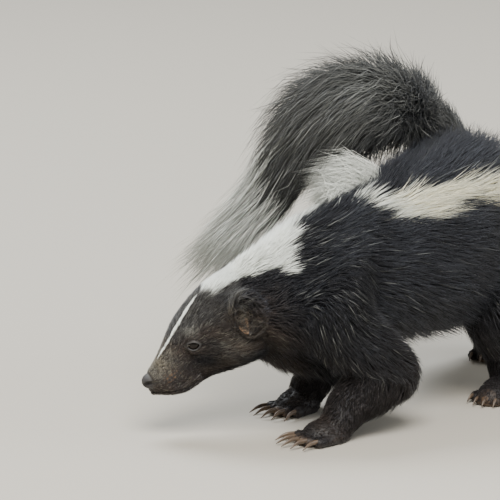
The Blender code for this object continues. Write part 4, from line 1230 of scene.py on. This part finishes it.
def tuft_mesh(name, paths, ups, widths, coat, uv):
    """One mesh of three-sided tapering tufts. Coat and uv hold a value for each tuft and step."""
    rings = paths.shape[1] - 1
    corners = tuft_corners(paths, ups, widths).reshape(-1, 3)
    faces = tuft_faces(len(paths), rings)
    mesh = bpy.data.meshes.new(name)
    mesh.vertices.add(len(corners))
    mesh.vertices.foreach_set("co", corners.ravel())
    mesh.loops.add(len(faces) * 3)
    mesh.loops.foreach_set("vertex_index", faces.ravel().astype(np.int32))
    mesh.polygons.add(len(faces))
    mesh.polygons.foreach_set("loop_start", np.arange(0, len(faces) * 3, 3, dtype=np.int32))
    mesh.update(calc_edges=True)
    mesh.polygons.foreach_set("use_smooth", np.ones(len(faces), bool))
    steps_of = np.append(np.repeat(np.arange(rings), 3), rings)
    layer = mesh.attributes.new("coat", "FLOAT_COLOR", "POINT")
    layer.data.foreach_set("color", coat[:, steps_of].reshape(-1))
    side = np.append(np.tile([-0.5, 0.5, 0.0], rings), 0.0)
    local = np.stack([side, steps_of / rings - 0.5], axis=1) * PATCH
    points_uv = (uv[:, None, :] + local[None]).reshape(-1, 2)
    mesh.uv_layers.new(name="OFBake").data.foreach_set("uv", points_uv[faces.ravel()].ravel())
    return link(name, mesh)


def root_uv(owner, near, angle):
    """Where each root lies on an unwrap of the forms: its section along, its angle across."""
    uv = np.zeros((len(owner), 2))
    for tile, form in enumerate(FORMS.values()):
        mine = owner == tile
        place = (near[mine] / len(form.centres), angle[mine] / (2 * math.pi) + 0.5)
        for axis, corner in enumerate((tile % TILES, tile // TILES)):
            uv[mine, axis] = (corner + TILE_MARGIN + (1 - 2 * TILE_MARGIN) * place[axis]) / TILES
    return uv


def coat_rows(white, warm, tone, rings):
    """What each tuft carries at each step: white, warm, tone, and how far along it the step is."""
    coat = np.zeros((len(tone), rings + 1, 4))
    for k, value in enumerate((white, warm, tone[:, None], np.linspace(0, 1, rings + 1))):
        coat[:, :, k] = value
    return coat


def make_pieces(name, paths, ups, widths, coat, uv):
    """Splits a coat into pieces small enough to export."""
    rings = paths.shape[1] - 1
    most = MOST_TRIANGLES // (6 * (rings - 1) + 4)
    pieces = []
    order = np.argsort(paths[:, 0, 0], kind="stable")
    for start in range(0, len(order), most):
        part = order[start : start + most]
        label = f"coat_{name}_{len(pieces) + 1}"
        pieces.append(tuft_mesh(label, paths[part], ups[part], widths[part], coat[part], uv[part]))
    return pieces


# Within the markings a white tuft is this much whiter, and a stray dark one keeps this share of white.
WHITER = 1.1
STRAY_WHITE = 0.15
# Pale tips on the body, partly pale hair and partly painted glints on the black coat: amount, share of
# tufts, and how many more in front of these places in metres.
BODY_TIPS_AND_GLINTS = 0.28
BODY_PALE = (0.02, 0.06)
BODY_FRONT = (-0.035, 0.0)
# On the head: spread of the frost and the painted sheen, then amount and share of pale tufts, and what the
# painted shade takes away.
FROST_AND_SHEEN_SPREAD = (0.2, 1.8)
HEAD_TIPS = (0.18, 0.08)
SHADE_TONE = 0.85
SHADE_TIPS = 0.9
TIPS_ALONG = (0.2, 1)


def tuft_paths(tree, roots, normals, depth, kind, rng):
    """Points along each tuft from root to tip, the skin points under them, and its normals there."""
    count, rings = len(roots), kind["rings"]
    fluff = ear_fluff(roots)
    reach = (depth * kind["reach"] + LEAST_REACH * CM) * varied(rng, count, *LENGTHS)
    turn = rng.normal(0, TURNING, (count, 3)) * (1 + EAR_RUFFLED * fluff)[:, None]
    bases, ups = walk(tree, roots, normals, reach * (1 + EAR_LONGER * fluff), rings, turn)
    hang = HANGING[0] * ramp(-normals[:, 2], *HANGING[1])
    rump = RUMP[0] * ramp(roots[:, 0], *RUMP[1]) * ramp(normals[:, 2], *RUMP[2])
    heights = varied(rng, count, *HEIGHTS) * (1 + hang + rump) * (1 + EAR_HIGHER * fluff)
    rise = np.linspace(0, 1, rings + 1) ** RISE_POWER
    paths = []
    for base, up, r in zip(bases, ups, rise):
        deep = np.minimum(lie(base, up)[1], depth * DEPTH_GAIN)
        paths.append(base + up * (-SINK + heights * deep * r)[:, None])
    paths = clumped(np.stack(paths, axis=1), roots, kind["clump"])
    paths[:, :, 2] = np.maximum(paths[:, :, 2], FLOOR_CLEAR * 2)
    return paths, bases, ups


def hair_tones(name, roots, middle, rng):
    """White, tone and paleness of the tip of each tuft."""
    count = len(roots)
    white = markings(middle)
    pale = rng.random(count)
    white = np.where(rng.random(count) < white, np.clip(white * WHITER, 0, 1), white * STRAY_WHITE)
    tone = rng.random(count)
    tips = np.zeros(count)
    if name == "body":
        # Pale tips on a few tufts: partly real pale hair, partly painted glints.
        share = BODY_PALE[0] + BODY_PALE[1] * (1 - ramp(roots[:, 0], *BODY_FRONT))
        tips = BODY_TIPS_AND_GLINTS * (pale < share) * rng.random(count)
    if name == "head":
        # Pale tips come from the frost and from the painted sheen on the bridge of the nose.
        tips = frost_and_sheen(roots) * rng.uniform(*FROST_AND_SHEEN_SPREAD, count) + HEAD_TIPS[0] * (pale < HEAD_TIPS[1])
        # The painted shade under the eye and along the jaw darkens the tone and the pale tips.
        tone *= 1 - SHADE_TONE * painted_shade(roots)
        tips *= 1 - SHADE_TIPS * painted_shade(roots)
    return white, tone, tips


def grow_coat(name, skin, tree, density, rng):
    """Tufts of one kind over the skin, following the lie of the coat."""
    kind = COATS[name]
    rings = kind["rings"]
    roots, normals = skin_samples(skin, kind["count"], density, rng)
    _, depth, owner, near, angle = lie(roots, normals)
    paths, bases, ups = tuft_paths(tree, roots, normals, depth, kind, rng)
    white, tone, tips = hair_tones(name, roots, bases[len(bases) // 2], rng)
    warm = np.where(white > 0.5, cream(roots), warmth(roots))[:, None]
    along = np.linspace(*TIPS_ALONG, rings + 1)
    coat = coat_rows(np.maximum(white[:, None], tips[:, None] * along), warm, tone, rings)
    widths = kind["width"] * CM * varied(rng, len(roots), *WIDTHS)
    return make_pieces(name, paths, np.stack(ups, axis=1), widths, coat, root_uv(owner, near, angle))


# Along the tail, places run from 0 at its root to 1 at its end. The hair's roots lie between these.
TAIL_HAIR = (0.06, 0.9)
# How hairs vary: mean, spread, least and most. What is added to every length, and how they sway.
TAIL_LENGTHS = (1, 0.18, 0.5, 1.5)
TAIL_WIDTHS = (1, 0.25, 0.5, 1.6)
TAIL_LEAST_REACH = 1.6
TAIL_SWAY = 0.32
# How far out the tips stand, as a share of the coat's depth, how they rise, and what they start from.
TAIL_SPREAD = (0.78, 0.25, 0.15, 1.2)
TAIL_RISE = 0.75
TAIL_SINK = -0.03
# How it curls: hills and seeds, and how far a tip is bent.
TAIL_BENDS = (0.022, (21, 22, 23))
TAIL_BEND = 0.42
# Some hairs stand out further than the rest, and so does all hair near the root of the tail.
WILD_SHARE = 0.14
WILD_SPREAD = 0.55
BASE_SPREAD = 0.5
BASE_END = (0.2, 0.42)
# Wisps are whitish hairs on one side of the tail's last part: most of them, angle, ramps round and along.
WISP_SHARE = 0.65
WISP_ANGLE = -0.6
WISP_LEAST = 0.02
WISP_ROUND = (-0.1, 0.6)
WISP_PLACE = (0.58, 0.8)
# Towards the tip of the tail they lie all round it.
END_SHARE = 0.85
END_PLACE = (0.74, 0.84)
# Wisps are longer and thinner, and the other hairs there are shorter and lie closer.
WISP_LONGER = 0.35
WISP_THINNER = 0.3
REST_SHORTER = (0.3, (0.6, 0.85))
REST_CLOSER = (0.35, (0.5, 0.7))
WISP_WHITE = (0.4, 1.0)
WISP_ALONG = (0.1, 0.6)
# Where pale hair shows: angle round the tail, then place along it and off that angle, sizes, amount.
PALE_ANGLE = -2.3
PALE_PLACE = (0.46, 0.0)
PALE_SIZE = (0.09, 0.5)
PALE_AMOUNT = 0.22
# Grey of the dark hair, stray grey hairs with their share, and pale tips, more towards the end.
TAIL_GREY = 0.06
STRAY_GREY = (0.2, 0.02)
TAIL_TIPS = (0.055, 0.035, (0.6, 0.92))
TIP_ALONG = (-0.5, 0.8)


def round_turn(angle):
    """The same angle between minus half a turn and half a turn."""
    return np.mod(angle + math.pi, 2 * math.pi) - math.pi


def tail_point(place, angle, out):
    """Points beside the tail's path. Past its end the last section goes on straight."""
    tail = FORMS["tail"]
    last = len(tail.centres) - 1
    at = np.clip(place, 0, 1) * last
    low = np.minimum(at.astype(int), last - 1)
    share = (at - low)[:, None]

    def read(values):
        return values[low] * (1 - share) + values[low + 1] * share

    steps = np.diff(tail.centres, axis=0)
    lengths = np.linalg.norm(steps, axis=1)
    beyond = np.maximum(place - 1, 0) * lengths.sum()
    centre = read(tail.centres) + steps[-1] / lengths[-1] * beyond[:, None]
    radial = read(tail.sides) * np.cos(angle)[:, None] + read(tail.ups) * np.sin(angle)[:, None]
    core, coat = (np.interp(place, np.linspace(0, 1, last + 1), v) for v in (tail.widths, tail.coat))
    return centre + radial * (core + coat * out)[:, None], radial


def tail_paths(place, angle, reach, spread, sway):
    """Points along each hair of the tail, and its outward directions."""
    rings = COATS["tail"]["rings"]
    length = np.linalg.norm(np.diff(FORMS["tail"].centres, axis=0), axis=1).sum()
    paths, radials = [], []
    for k in range(rings + 1):
        t = k / rings
        out = TAIL_SINK + spread * t**TAIL_RISE
        points, radial = tail_point(place + t * reach / length, angle + sway * t, out)
        paths.append(points + bends(points, *TAIL_BENDS) * (TAIL_BEND * CM * t * t))
        radials.append(radial)
    return clumped(np.stack(paths, axis=1), paths[0], COATS["tail"]["clump"]), np.stack(radials, axis=1)


def tail_white(place, angle, wisp, rings, rng):
    """How pale each hair of the tail is from root to tip."""
    count = len(place)
    steps = np.linspace(0, 1, rings + 1)[None]
    patch = spot(place, round_turn(angle - PALE_ANGLE), PALE_PLACE, PALE_SIZE)
    grey = TAIL_GREY * rng.random(count) ** 2 + PALE_AMOUNT * patch * rng.random(count)
    grey += STRAY_GREY[0] * (rng.random(count) < STRAY_GREY[1])
    whitish = (wisp * rng.uniform(*WISP_WHITE, count))[:, None] * ramp(steps, *WISP_ALONG)
    amount, more, end = TAIL_TIPS
    tips = (amount + more * ramp(place, *end) * rng.random(count))[:, None] * ramp(steps, *TIP_ALONG)
    return np.clip(np.maximum(grey[:, None] + tips, whitish), 0, 1)


def grow_tail(rng):
    """The long hair of the tail, which leaves its root at a slant and trails towards the tip."""
    kind = COATS["tail"]
    count, rings = kind["count"], kind["rings"]
    coat = FORMS["tail"].coat
    place = TAIL_HAIR[0] + (TAIL_HAIR[1] - TAIL_HAIR[0]) * rng.random(count)
    angle = rng.random(count) * 2 * math.pi
    depth = np.interp(place, np.linspace(0, 1, len(coat)), coat)
    reach = (depth * kind["reach"] + TAIL_LEAST_REACH * CM) * varied(rng, count, *TAIL_LENGTHS)
    spread = varied(rng, count, *TAIL_SPREAD)
    spread += WILD_SPREAD * (rng.random(count) < WILD_SHARE) * rng.random(count)
    spread *= 1 + BASE_SPREAD * (1 - ramp(place, *BASE_END))
    outer = WISP_LEAST + (1 - WISP_LEAST) * ramp(np.cos(angle - WISP_ANGLE), *WISP_ROUND)
    share = WISP_SHARE * outer * ramp(place, *WISP_PLACE)
    wisp = (rng.random(count) < np.maximum(share, END_SHARE * ramp(place, *END_PLACE))).astype(float)
    reach *= 1 + WISP_LONGER * wisp - REST_SHORTER[0] * (1 - wisp) * ramp(place, *REST_SHORTER[1])
    spread *= 1 - REST_CLOSER[0] * ramp(place, *REST_CLOSER[1]) * (1 - wisp)
    sway = rng.normal(0, TAIL_SWAY, count)
    paths, radials = tail_paths(place, angle, reach, spread, sway)
    coat_values = coat_rows(tail_white(place, angle, wisp, rings, rng), 0, rng.random(count), rings)
    widths = kind["width"] * CM * varied(rng, count, *TAIL_WIDTHS) * (1 - WISP_THINNER * wisp)
    owner = np.full(count, FORM_NAMES.index("tail"))
    uv = root_uv(owner, place * len(coat), round_turn(angle))
    return make_pieces("tail", paths, radials, widths, coat_values, uv)


# Ruffled white hair on the far side of the spine, which the tail pushes up: where its roots lie, by
# x of the axis and degrees from the top, and how it varies.
RUFFLE_X = (0.0, 4.5)
RUFFLE_DEGREES = (8, 32)
RUFFLE_VARIES = (1, 0.14, 0.5, 1.3)
# Its length and its lean at the front and at the rear of the patch.
RUFFLE_LENGTHS = (2.7, 4.3)
RUFFLE_LEANS = (0.4, 1.15)
# The way the hair stands at its root, how its tips lean forward over the far side, and how they sink.
RUFFLE_WAY = (0.0, 0.0, 1.33)
RUFFLE_LEAN = (-0.7, 0.45, 0.0)
RUFFLE_SINK = 1.03
RUFFLE_SPREAD = 0.13
# How it curls, as on the tail, and how white it is.
RUFFLE_BENDS = (0.012, (41, 42, 43))
RUFFLE_BEND = 0.3
RUFFLE_WHITE = (0.75, 1.0)


def ruffle_roots(x, angle):
    """Points on the trunk's skin at the given x and angle, their sections and outward directions."""
    trunk = FORMS["trunk"]
    near = np.abs(trunk.centres[:, 0][None] - x[:, None]).argmin(axis=1)
    round_side = trunk.sides[near] * (np.sin(angle) * trunk.widths[near])[:, None]
    round_up = trunk.ups[near] * (np.cos(angle) * trunk.heights[near])[:, None]
    roots = trunk.centres[near] + round_side + round_up
    roots[:, 0] += x - trunk.centres[near, 0]
    return roots, near, unit(round_side + round_up)


def grow_ruffle(rng):
    """White hair over the spine that the tail pushes up."""
    kind = COATS["ruffle"]
    count, rings = kind["count"], kind["rings"]
    x = rng.uniform(*RUFFLE_X, count) * CM
    angle = np.radians(rng.uniform(*RUFFLE_DEGREES, count))
    roots, near, radial = ruffle_roots(x, angle)
    rear = ramp(x / CM, *RUFFLE_X)
    length = np.interp(rear, (0, 1), RUFFLE_LENGTHS) * CM * varied(rng, count, *RUFFLE_VARIES)
    lean = np.interp(rear, (0, 1), RUFFLE_LEANS)[:, None]
    way = np.array(RUFFLE_WAY) + rng.normal(0, RUFFLE_SPREAD, (count, 3))
    fall = np.array(RUFFLE_LEAN) * lean - RUFFLE_SINK * np.array(UP)
    fall += rng.normal(0, RUFFLE_SPREAD, (count, 3))
    paths = []
    for k in range(rings + 1):
        t = k / rings
        curl = bends(roots, *RUFFLE_BENDS) * (RUFFLE_BEND * CM * t * t)
        paths.append(roots - radial * SINK + (way * t + fall * t * t) * length[:, None] + curl)
    paths = clumped(np.stack(paths, axis=1), roots, kind["clump"])
    coat = coat_rows(rng.uniform(*RUFFLE_WHITE, count)[:, None], 0, rng.random(count), rings)
    widths = kind["width"] * CM * varied(rng, count, *WIDTHS)
    owner = np.full(count, FORM_NAMES.index("trunk"))
    ups = np.repeat(radial[:, None], rings + 1, axis=1)
    return make_pieces("ruffle", paths, ups, widths, coat, root_uv(owner, near, angle))


# How thickly hair grows: least and gain on the body above these heights, and gain along the face.
BODY_GROWTH = (0.6, 0.5, (0.05, 0.12))
FACE_GROWTH = (0.8, (1.0, 6.0))


def body_density(points):
    owner, *_, coat = read_forms(points)
    least, gain, heights = BODY_GROWTH
    keep = (coat > LONG_COAT) & ~owned_by(owner, "tail", "head")
    return keep * (least + gain * ramp(points[:, 2], *heights))


def short_density(points):
    owner, *_, coat = read_forms(points)
    keep = (coat <= LONG_COAT) & ~owned_by(owner, "tail", "head")
    return keep * (1 - bareness(points)[0])


def head_density(points):
    owner = read_forms(points)[0]
    gain, face = FACE_GROWTH
    hairy = (1 - bareness(points)[0]) ** 2
    return owned_by(owner, "head") * hairy * (1 + gain * ramp(head_place(points)[0], *face))


def make_coat(skin):
    rng = np.random.default_rng(SEED)
    grid = bmesh.new()
    grid.from_mesh(skin.data)
    tree = BVHTree.FromBMesh(grid)
    grid.free()
    pieces = []
    for name, density in (("body", body_density), ("short", short_density), ("head", head_density)):
        pieces += grow_coat(name, skin, tree, density, rng)
    return pieces + grow_tail(rng) + grow_ruffle(rng)


# Colours, linear.
BLACK_HAIR = (0.005, 0.005, 0.0066, 1)
BLACK_TIP = (0.016, 0.0165, 0.0205, 1)
BROWN_HAIR = (0.02, 0.0145, 0.012, 1)
BROWN_TIP = (0.078, 0.059, 0.049, 1)
CREAM_BASE = (0.86, 0.78, 0.54, 1)
CREAM_TIP = (0.97, 0.93, 0.72, 1)
WHITE_BASE = (0.8, 0.82, 0.76, 1)
WHITE_TIP = (0.93, 0.97, 0.92, 1)
LEATHER = (0.018, 0.015, 0.016, 1)
GREY_SKIN_AND_SHEEN = (0.13, 0.13, 0.135, 1)
PINK_SKIN = (0.43, 0.26, 0.14, 1)
EYE_BROWN = (0.012, 0.007, 0.005, 1)
EYE_DARK = (0.0015, 0.0015, 0.002, 1)
CLAW_LIGHT = (0.13, 0.09, 0.06, 1)
CLAW_DARK = (0.08, 0.06, 0.045, 1)
# The constant values of each material.
SURFACES = {
    "fur": {
        "Roughness": 0.4,
        "Specular IOR Level": 0.25,
        "Sheen Weight": 0.07,
        "Sheen Roughness": 0.4,
        "Sheen Tint": (0.75, 0.82, 1.0, 1),
    },
    "skin": {"Roughness": 0.6},
    "eye": {"Roughness": 0.08, "Specular IOR Level": 0.2, "Coat Weight": 0.1, "Coat Roughness": 0.02},
    "claw": {"Roughness": 0.35},
    "floor": {"Roughness": 0.9, "Base Color": (0.52, 0.49, 0.43, 1)},
}
# Mottling: how fine it is, the noise values that it runs between, and what they become.
SPECKLES = (900, 0.35, 0.65)
PATCHES = (120, 0.2, 0.8, 0.0, 0.5)
EYE_MOTTLE = (500, 0.3, 0.7)
CLAW_MOTTLE = (300, 0.3, 0.7)
# Bumps: detail of the noise, then for each material how fine they are, strength and distance.
BUMP_DETAIL = 2.0
SKIN_BUMPS = (2600, 0.35, 0.0002)
CLAW_BUMPS = (1500, 0.2, 0.0001)


def new_material(name):
    made = bpy.data.materials.new(name)
    made.use_nodes = True
    shader = made.node_tree.nodes["Principled BSDF"]
    for socket, value in SURFACES[name].items():
        shader.inputs[socket].default_value = value
    return made, made.node_tree, shader


def mix(tree, factor, low, high):
    """A colour between two others. Each argument is a socket, or a plain value."""
    node = tree.nodes.new("ShaderNodeMix")
    node.data_type = "RGBA"
    for socket, value in ((node.inputs[0], factor), (node.inputs[6], low), (node.inputs[7], high)):
        if isinstance(value, bpy.types.NodeSocket):
            tree.links.new(value, socket)
        else:
            socket.default_value = value
    return node.outputs[2]


def coat_values(tree):
    """The four values kept on skin and coat: white, warm, tone or bare, along or pink."""
    attribute = tree.nodes.new("ShaderNodeAttribute")
    attribute.attribute_name = "coat"
    split = tree.nodes.new("ShaderNodeSeparateColor")
    tree.links.new(attribute.outputs["Color"], split.inputs[0])
    return split.outputs[0], split.outputs[1], split.outputs[2], attribute.outputs["Alpha"]


def noise(tree, scale, detail=3.0):
    place = tree.nodes.new("ShaderNodeTexCoord")
    node = tree.nodes.new("ShaderNodeTexNoise")
    tree.links.new(place.outputs["Object"], node.inputs["Vector"])
    node.inputs["Scale"].default_value = scale
    node.inputs["Detail"].default_value = detail
    return node.outputs["Fac"]


def mottle(tree, scale, low, high, to_low=0.0, to_high=1.0):
    """A random value that runs from to_low to to_high where the noise runs from low to high."""
    node = tree.nodes.new("ShaderNodeMapRange")
    tree.links.new(noise(tree, scale), node.inputs[0])
    for k, number in enumerate((low, high, to_low, to_high)):
        node.inputs[k + 1].default_value = number
    return node.outputs[0]


def bump(tree, shader, scale, strength, distance):
    node = tree.nodes.new("ShaderNodeBump")
    node.inputs["Strength"].default_value = strength
    node.inputs["Distance"].default_value = distance
    tree.links.new(noise(tree, scale, BUMP_DETAIL), node.inputs["Height"])
    tree.links.new(node.outputs[0], shader.inputs["Normal"])


def fur_material():
    made, tree, shader = new_material("fur")
    white, warm, tone, along = coat_values(tree)
    root = mix(tree, warm, BLACK_HAIR, BROWN_HAIR)
    tip = mix(tree, warm, BLACK_TIP, BROWN_TIP)
    dark = mix(tree, tone, root, tip)
    base = mix(tree, warm, WHITE_BASE, CREAM_BASE)
    pale = mix(tree, along, base, mix(tree, warm, WHITE_TIP, CREAM_TIP))
    tree.links.new(mix(tree, white, dark, pale), shader.inputs["Base Color"])
    return made


def skin_material():
    made, tree, shader = new_material("skin")
    white, warm, bare, pink = coat_values(tree)
    dark = mix(tree, warm, BLACK_HAIR, BROWN_HAIR)
    coat = mix(tree, white, dark, WHITE_BASE)
    # Grey bare skin: grey lids and nose, with the painted sheen on top of the nose and the painted
    # highlight on the lower lid rim.
    naked = mix(tree, white, mix(tree, pink, LEATHER, PINK_SKIN), GREY_SKIN_AND_SHEEN)
    speckled = mix(tree, mottle(tree, *SPECKLES), naked, LEATHER)
    soft = mix(tree, mottle(tree, *PATCHES), naked, speckled)
    tree.links.new(mix(tree, bare, coat, soft), shader.inputs["Base Color"])
    bump(tree, shader, *SKIN_BUMPS)
    return made


def eye_material():
    made, tree, shader = new_material("eye")
    colour = mix(tree, mottle(tree, *EYE_MOTTLE), EYE_DARK, EYE_BROWN)
    tree.links.new(colour, shader.inputs["Base Color"])
    return made


def claw_material():
    made, tree, shader = new_material("claw")
    colour = mix(tree, mottle(tree, *CLAW_MOTTLE), CLAW_LIGHT, CLAW_DARK)
    tree.links.new(colour, shader.inputs["Base Color"])
    bump(tree, shader, *CLAW_BUMPS)
    return made


# Eyes and claws.
def make_eye(label, side):
    """An eyeball with a slight bulge of the cornea in front."""
    centre, ahead, out, across = eye_frame(side)
    radii = [EYE_RADIUS * EYE_FIT * CM] * 3
    eye = ellipsoid(f"eyeball_{label}", centre, (ahead, across, out), radii, *FINE_SPHERE)
    for vert in eye.data.vertices:
        facing = (vert.co - centre).normalized().dot(out)
        bulge = max(0.0, (facing - CORNEA_START) / (1 - CORNEA_START))
        vert.co += (vert.co - centre) * (CORNEA_BULGE * math.sin(bulge * math.pi / 2) ** 2)
    return eye


def claw(base, bend, tip):
    sizes = (CLAW_RADIUS, CLAW_RADIUS * CLAW_BEND_RADIUS, CLAW_TIP_RADIUS)
    rows = [(*(p / CM), size) for p, size in zip((base, bend, tip), sizes)]
    table = smooth_rows(rows, CLAW_STEPS) * CM
    sides, ups = path_frames(table[:, :3], SIDEWAYS)
    radii = table[:, 3]
    return loft("claw", table[:, :3], sides, ups, radii * CLAW_WIDTH, radii, SMALL_SIDES)


def make_claws():
    """One object with every claw, rooted in the toes."""
    made = []
    for paw in PAWS.values():
        for _, end, ahead in toe_bases(paw):
            base = end - ahead * (CLAW_ROOT[0] * CM) + UP * (CLAW_ROOT[1] * CM)
            bend = base + ahead * (paw.claw * CLAW_BEND[0] * CM) + UP * (CLAW_BEND[1] * CM)
            tip = base + ahead * ((paw.claw + CLAW_OVERRUN) * CM) - UP * (CLAW_DROP * CM)
            made.append(claw(base, bend, tip))
    claws = join("claws", made)
    claws.data.shade_smooth()
    return claws


# Stage, lights and camera.
STAGE_SIZE = 30.0
BACKDROP_COLOUR = (0.6, 0.575, 0.52, 1)
BACKDROP_STRENGTH = 0.75
# Each light: direction it comes from, distance, size, power, colour.
LIGHTS = {
    "key": ((-0.5, -0.7, 1.0), 2.2, 1.1, 72, (1.0, 0.97, 0.92)),
    "fill": ((0.9, -0.8, 0.5), 2.6, 1.6, 20, (0.85, 0.92, 1.0)),
    "back": ((0.1, 0.8, 1.2), 2.4, 1.2, 62, (0.92, 0.96, 1.0)),
}
CAMERA_AZIMUTH = math.radians(-38)
CAMERA_ELEVATION = math.radians(12)
CAMERA_DISTANCE = 3.5
CAMERA_END = 100
# The picture is this wide where the animal stands, in metres. The sensor is in millimetres.
FRAME_WIDTH = 0.3125
SENSOR = 36.0
# The middle of the photo, from a point of the model: to the right and up in the picture, in metres.
AIM_RIGHT = -0.05
AIM_UP = 0.11875
ANCHOR = Vector((-0.04, -0.035, 0.0))


def camera_axes():
    a, e = CAMERA_AZIMUTH, CAMERA_ELEVATION
    right = Vector((math.cos(a), math.sin(a), 0))
    look = Vector((-math.sin(a) * math.cos(e), math.cos(a) * math.cos(e), -math.sin(e)))
    return right, right.cross(look), look


def aim(obj, direction):
    """Turns a camera or a light to look along a direction."""
    obj.rotation_mode = "QUATERNION"
    obj.rotation_quaternion = direction.to_track_quat("-Z", "Y")


def make_camera(shift):
    right, up, look = camera_axes()
    data = bpy.data.cameras.new("camera")
    camera = link("camera", data)
    camera.location = ANCHOR + shift + right * AIM_RIGHT + up * AIM_UP - look * CAMERA_DISTANCE
    aim(camera, look)
    data.sensor_width = SENSOR
    data.lens = SENSOR * CAMERA_DISTANCE / FRAME_WIDTH
    data.clip_end = CAMERA_END
    bpy.context.scene.camera = camera


def area_light(name, direction, distance, size, power, colour):
    data = bpy.data.lights.new(name, "AREA")
    data.size = size
    data.energy = power
    data.color = colour
    light = link(name, data)
    light.location = Vector(direction).normalized() * distance
    aim(light, -Vector(direction))


def make_stage():
    corners = [(x * STAGE_SIZE, y * STAGE_SIZE, 0) for x, y in ((-1, -1), (1, -1), (1, 1), (-1, 1))]
    floor = mesh_object("floor", corners, [(0, 1, 2, 3)])
    floor.data.materials.append(new_material("floor")[0])
    world = bpy.data.worlds.new("studio")
    bpy.context.scene.world = world
    world.use_nodes = True
    backdrop = world.node_tree.nodes["Background"]
    backdrop.inputs["Color"].default_value = BACKDROP_COLOUR
    backdrop.inputs["Strength"].default_value = BACKDROP_STRENGTH
    for name, values in LIGHTS.items():
        area_light(name, *values)


def middle(box):
    return (Vector(box[0]) + Vector(box[1])) / 2


def finish_piece(obj, shift, material):
    obj.data.transform(Matrix.Translation(shift))
    obj.data.materials.clear()
    obj.data.materials.append(material)
    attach(obj, "root")


def main():
    shift = middle(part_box("eye_left")) - on_head(*EYE_CENTRE)
    fur = fur_material()
    skin = make_skin()
    paint_skin(skin)
    coat = make_coat(skin)
    claws = make_claws()
    eye = eye_material()
    for label, side in (("left", 1), ("right", -1)):
        ball = make_eye(label, side)
        finish_piece(ball, shift, eye)
        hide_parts(f"eye_{label}")
    finish_piece(skin, shift, skin_material())
    finish_piece(claws, shift, claw_material())
    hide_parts(*[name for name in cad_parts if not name.startswith("eye")])
    for piece in coat:
        finish_piece(piece, shift, fur)
    make_stage()
    make_camera(shift)


main()
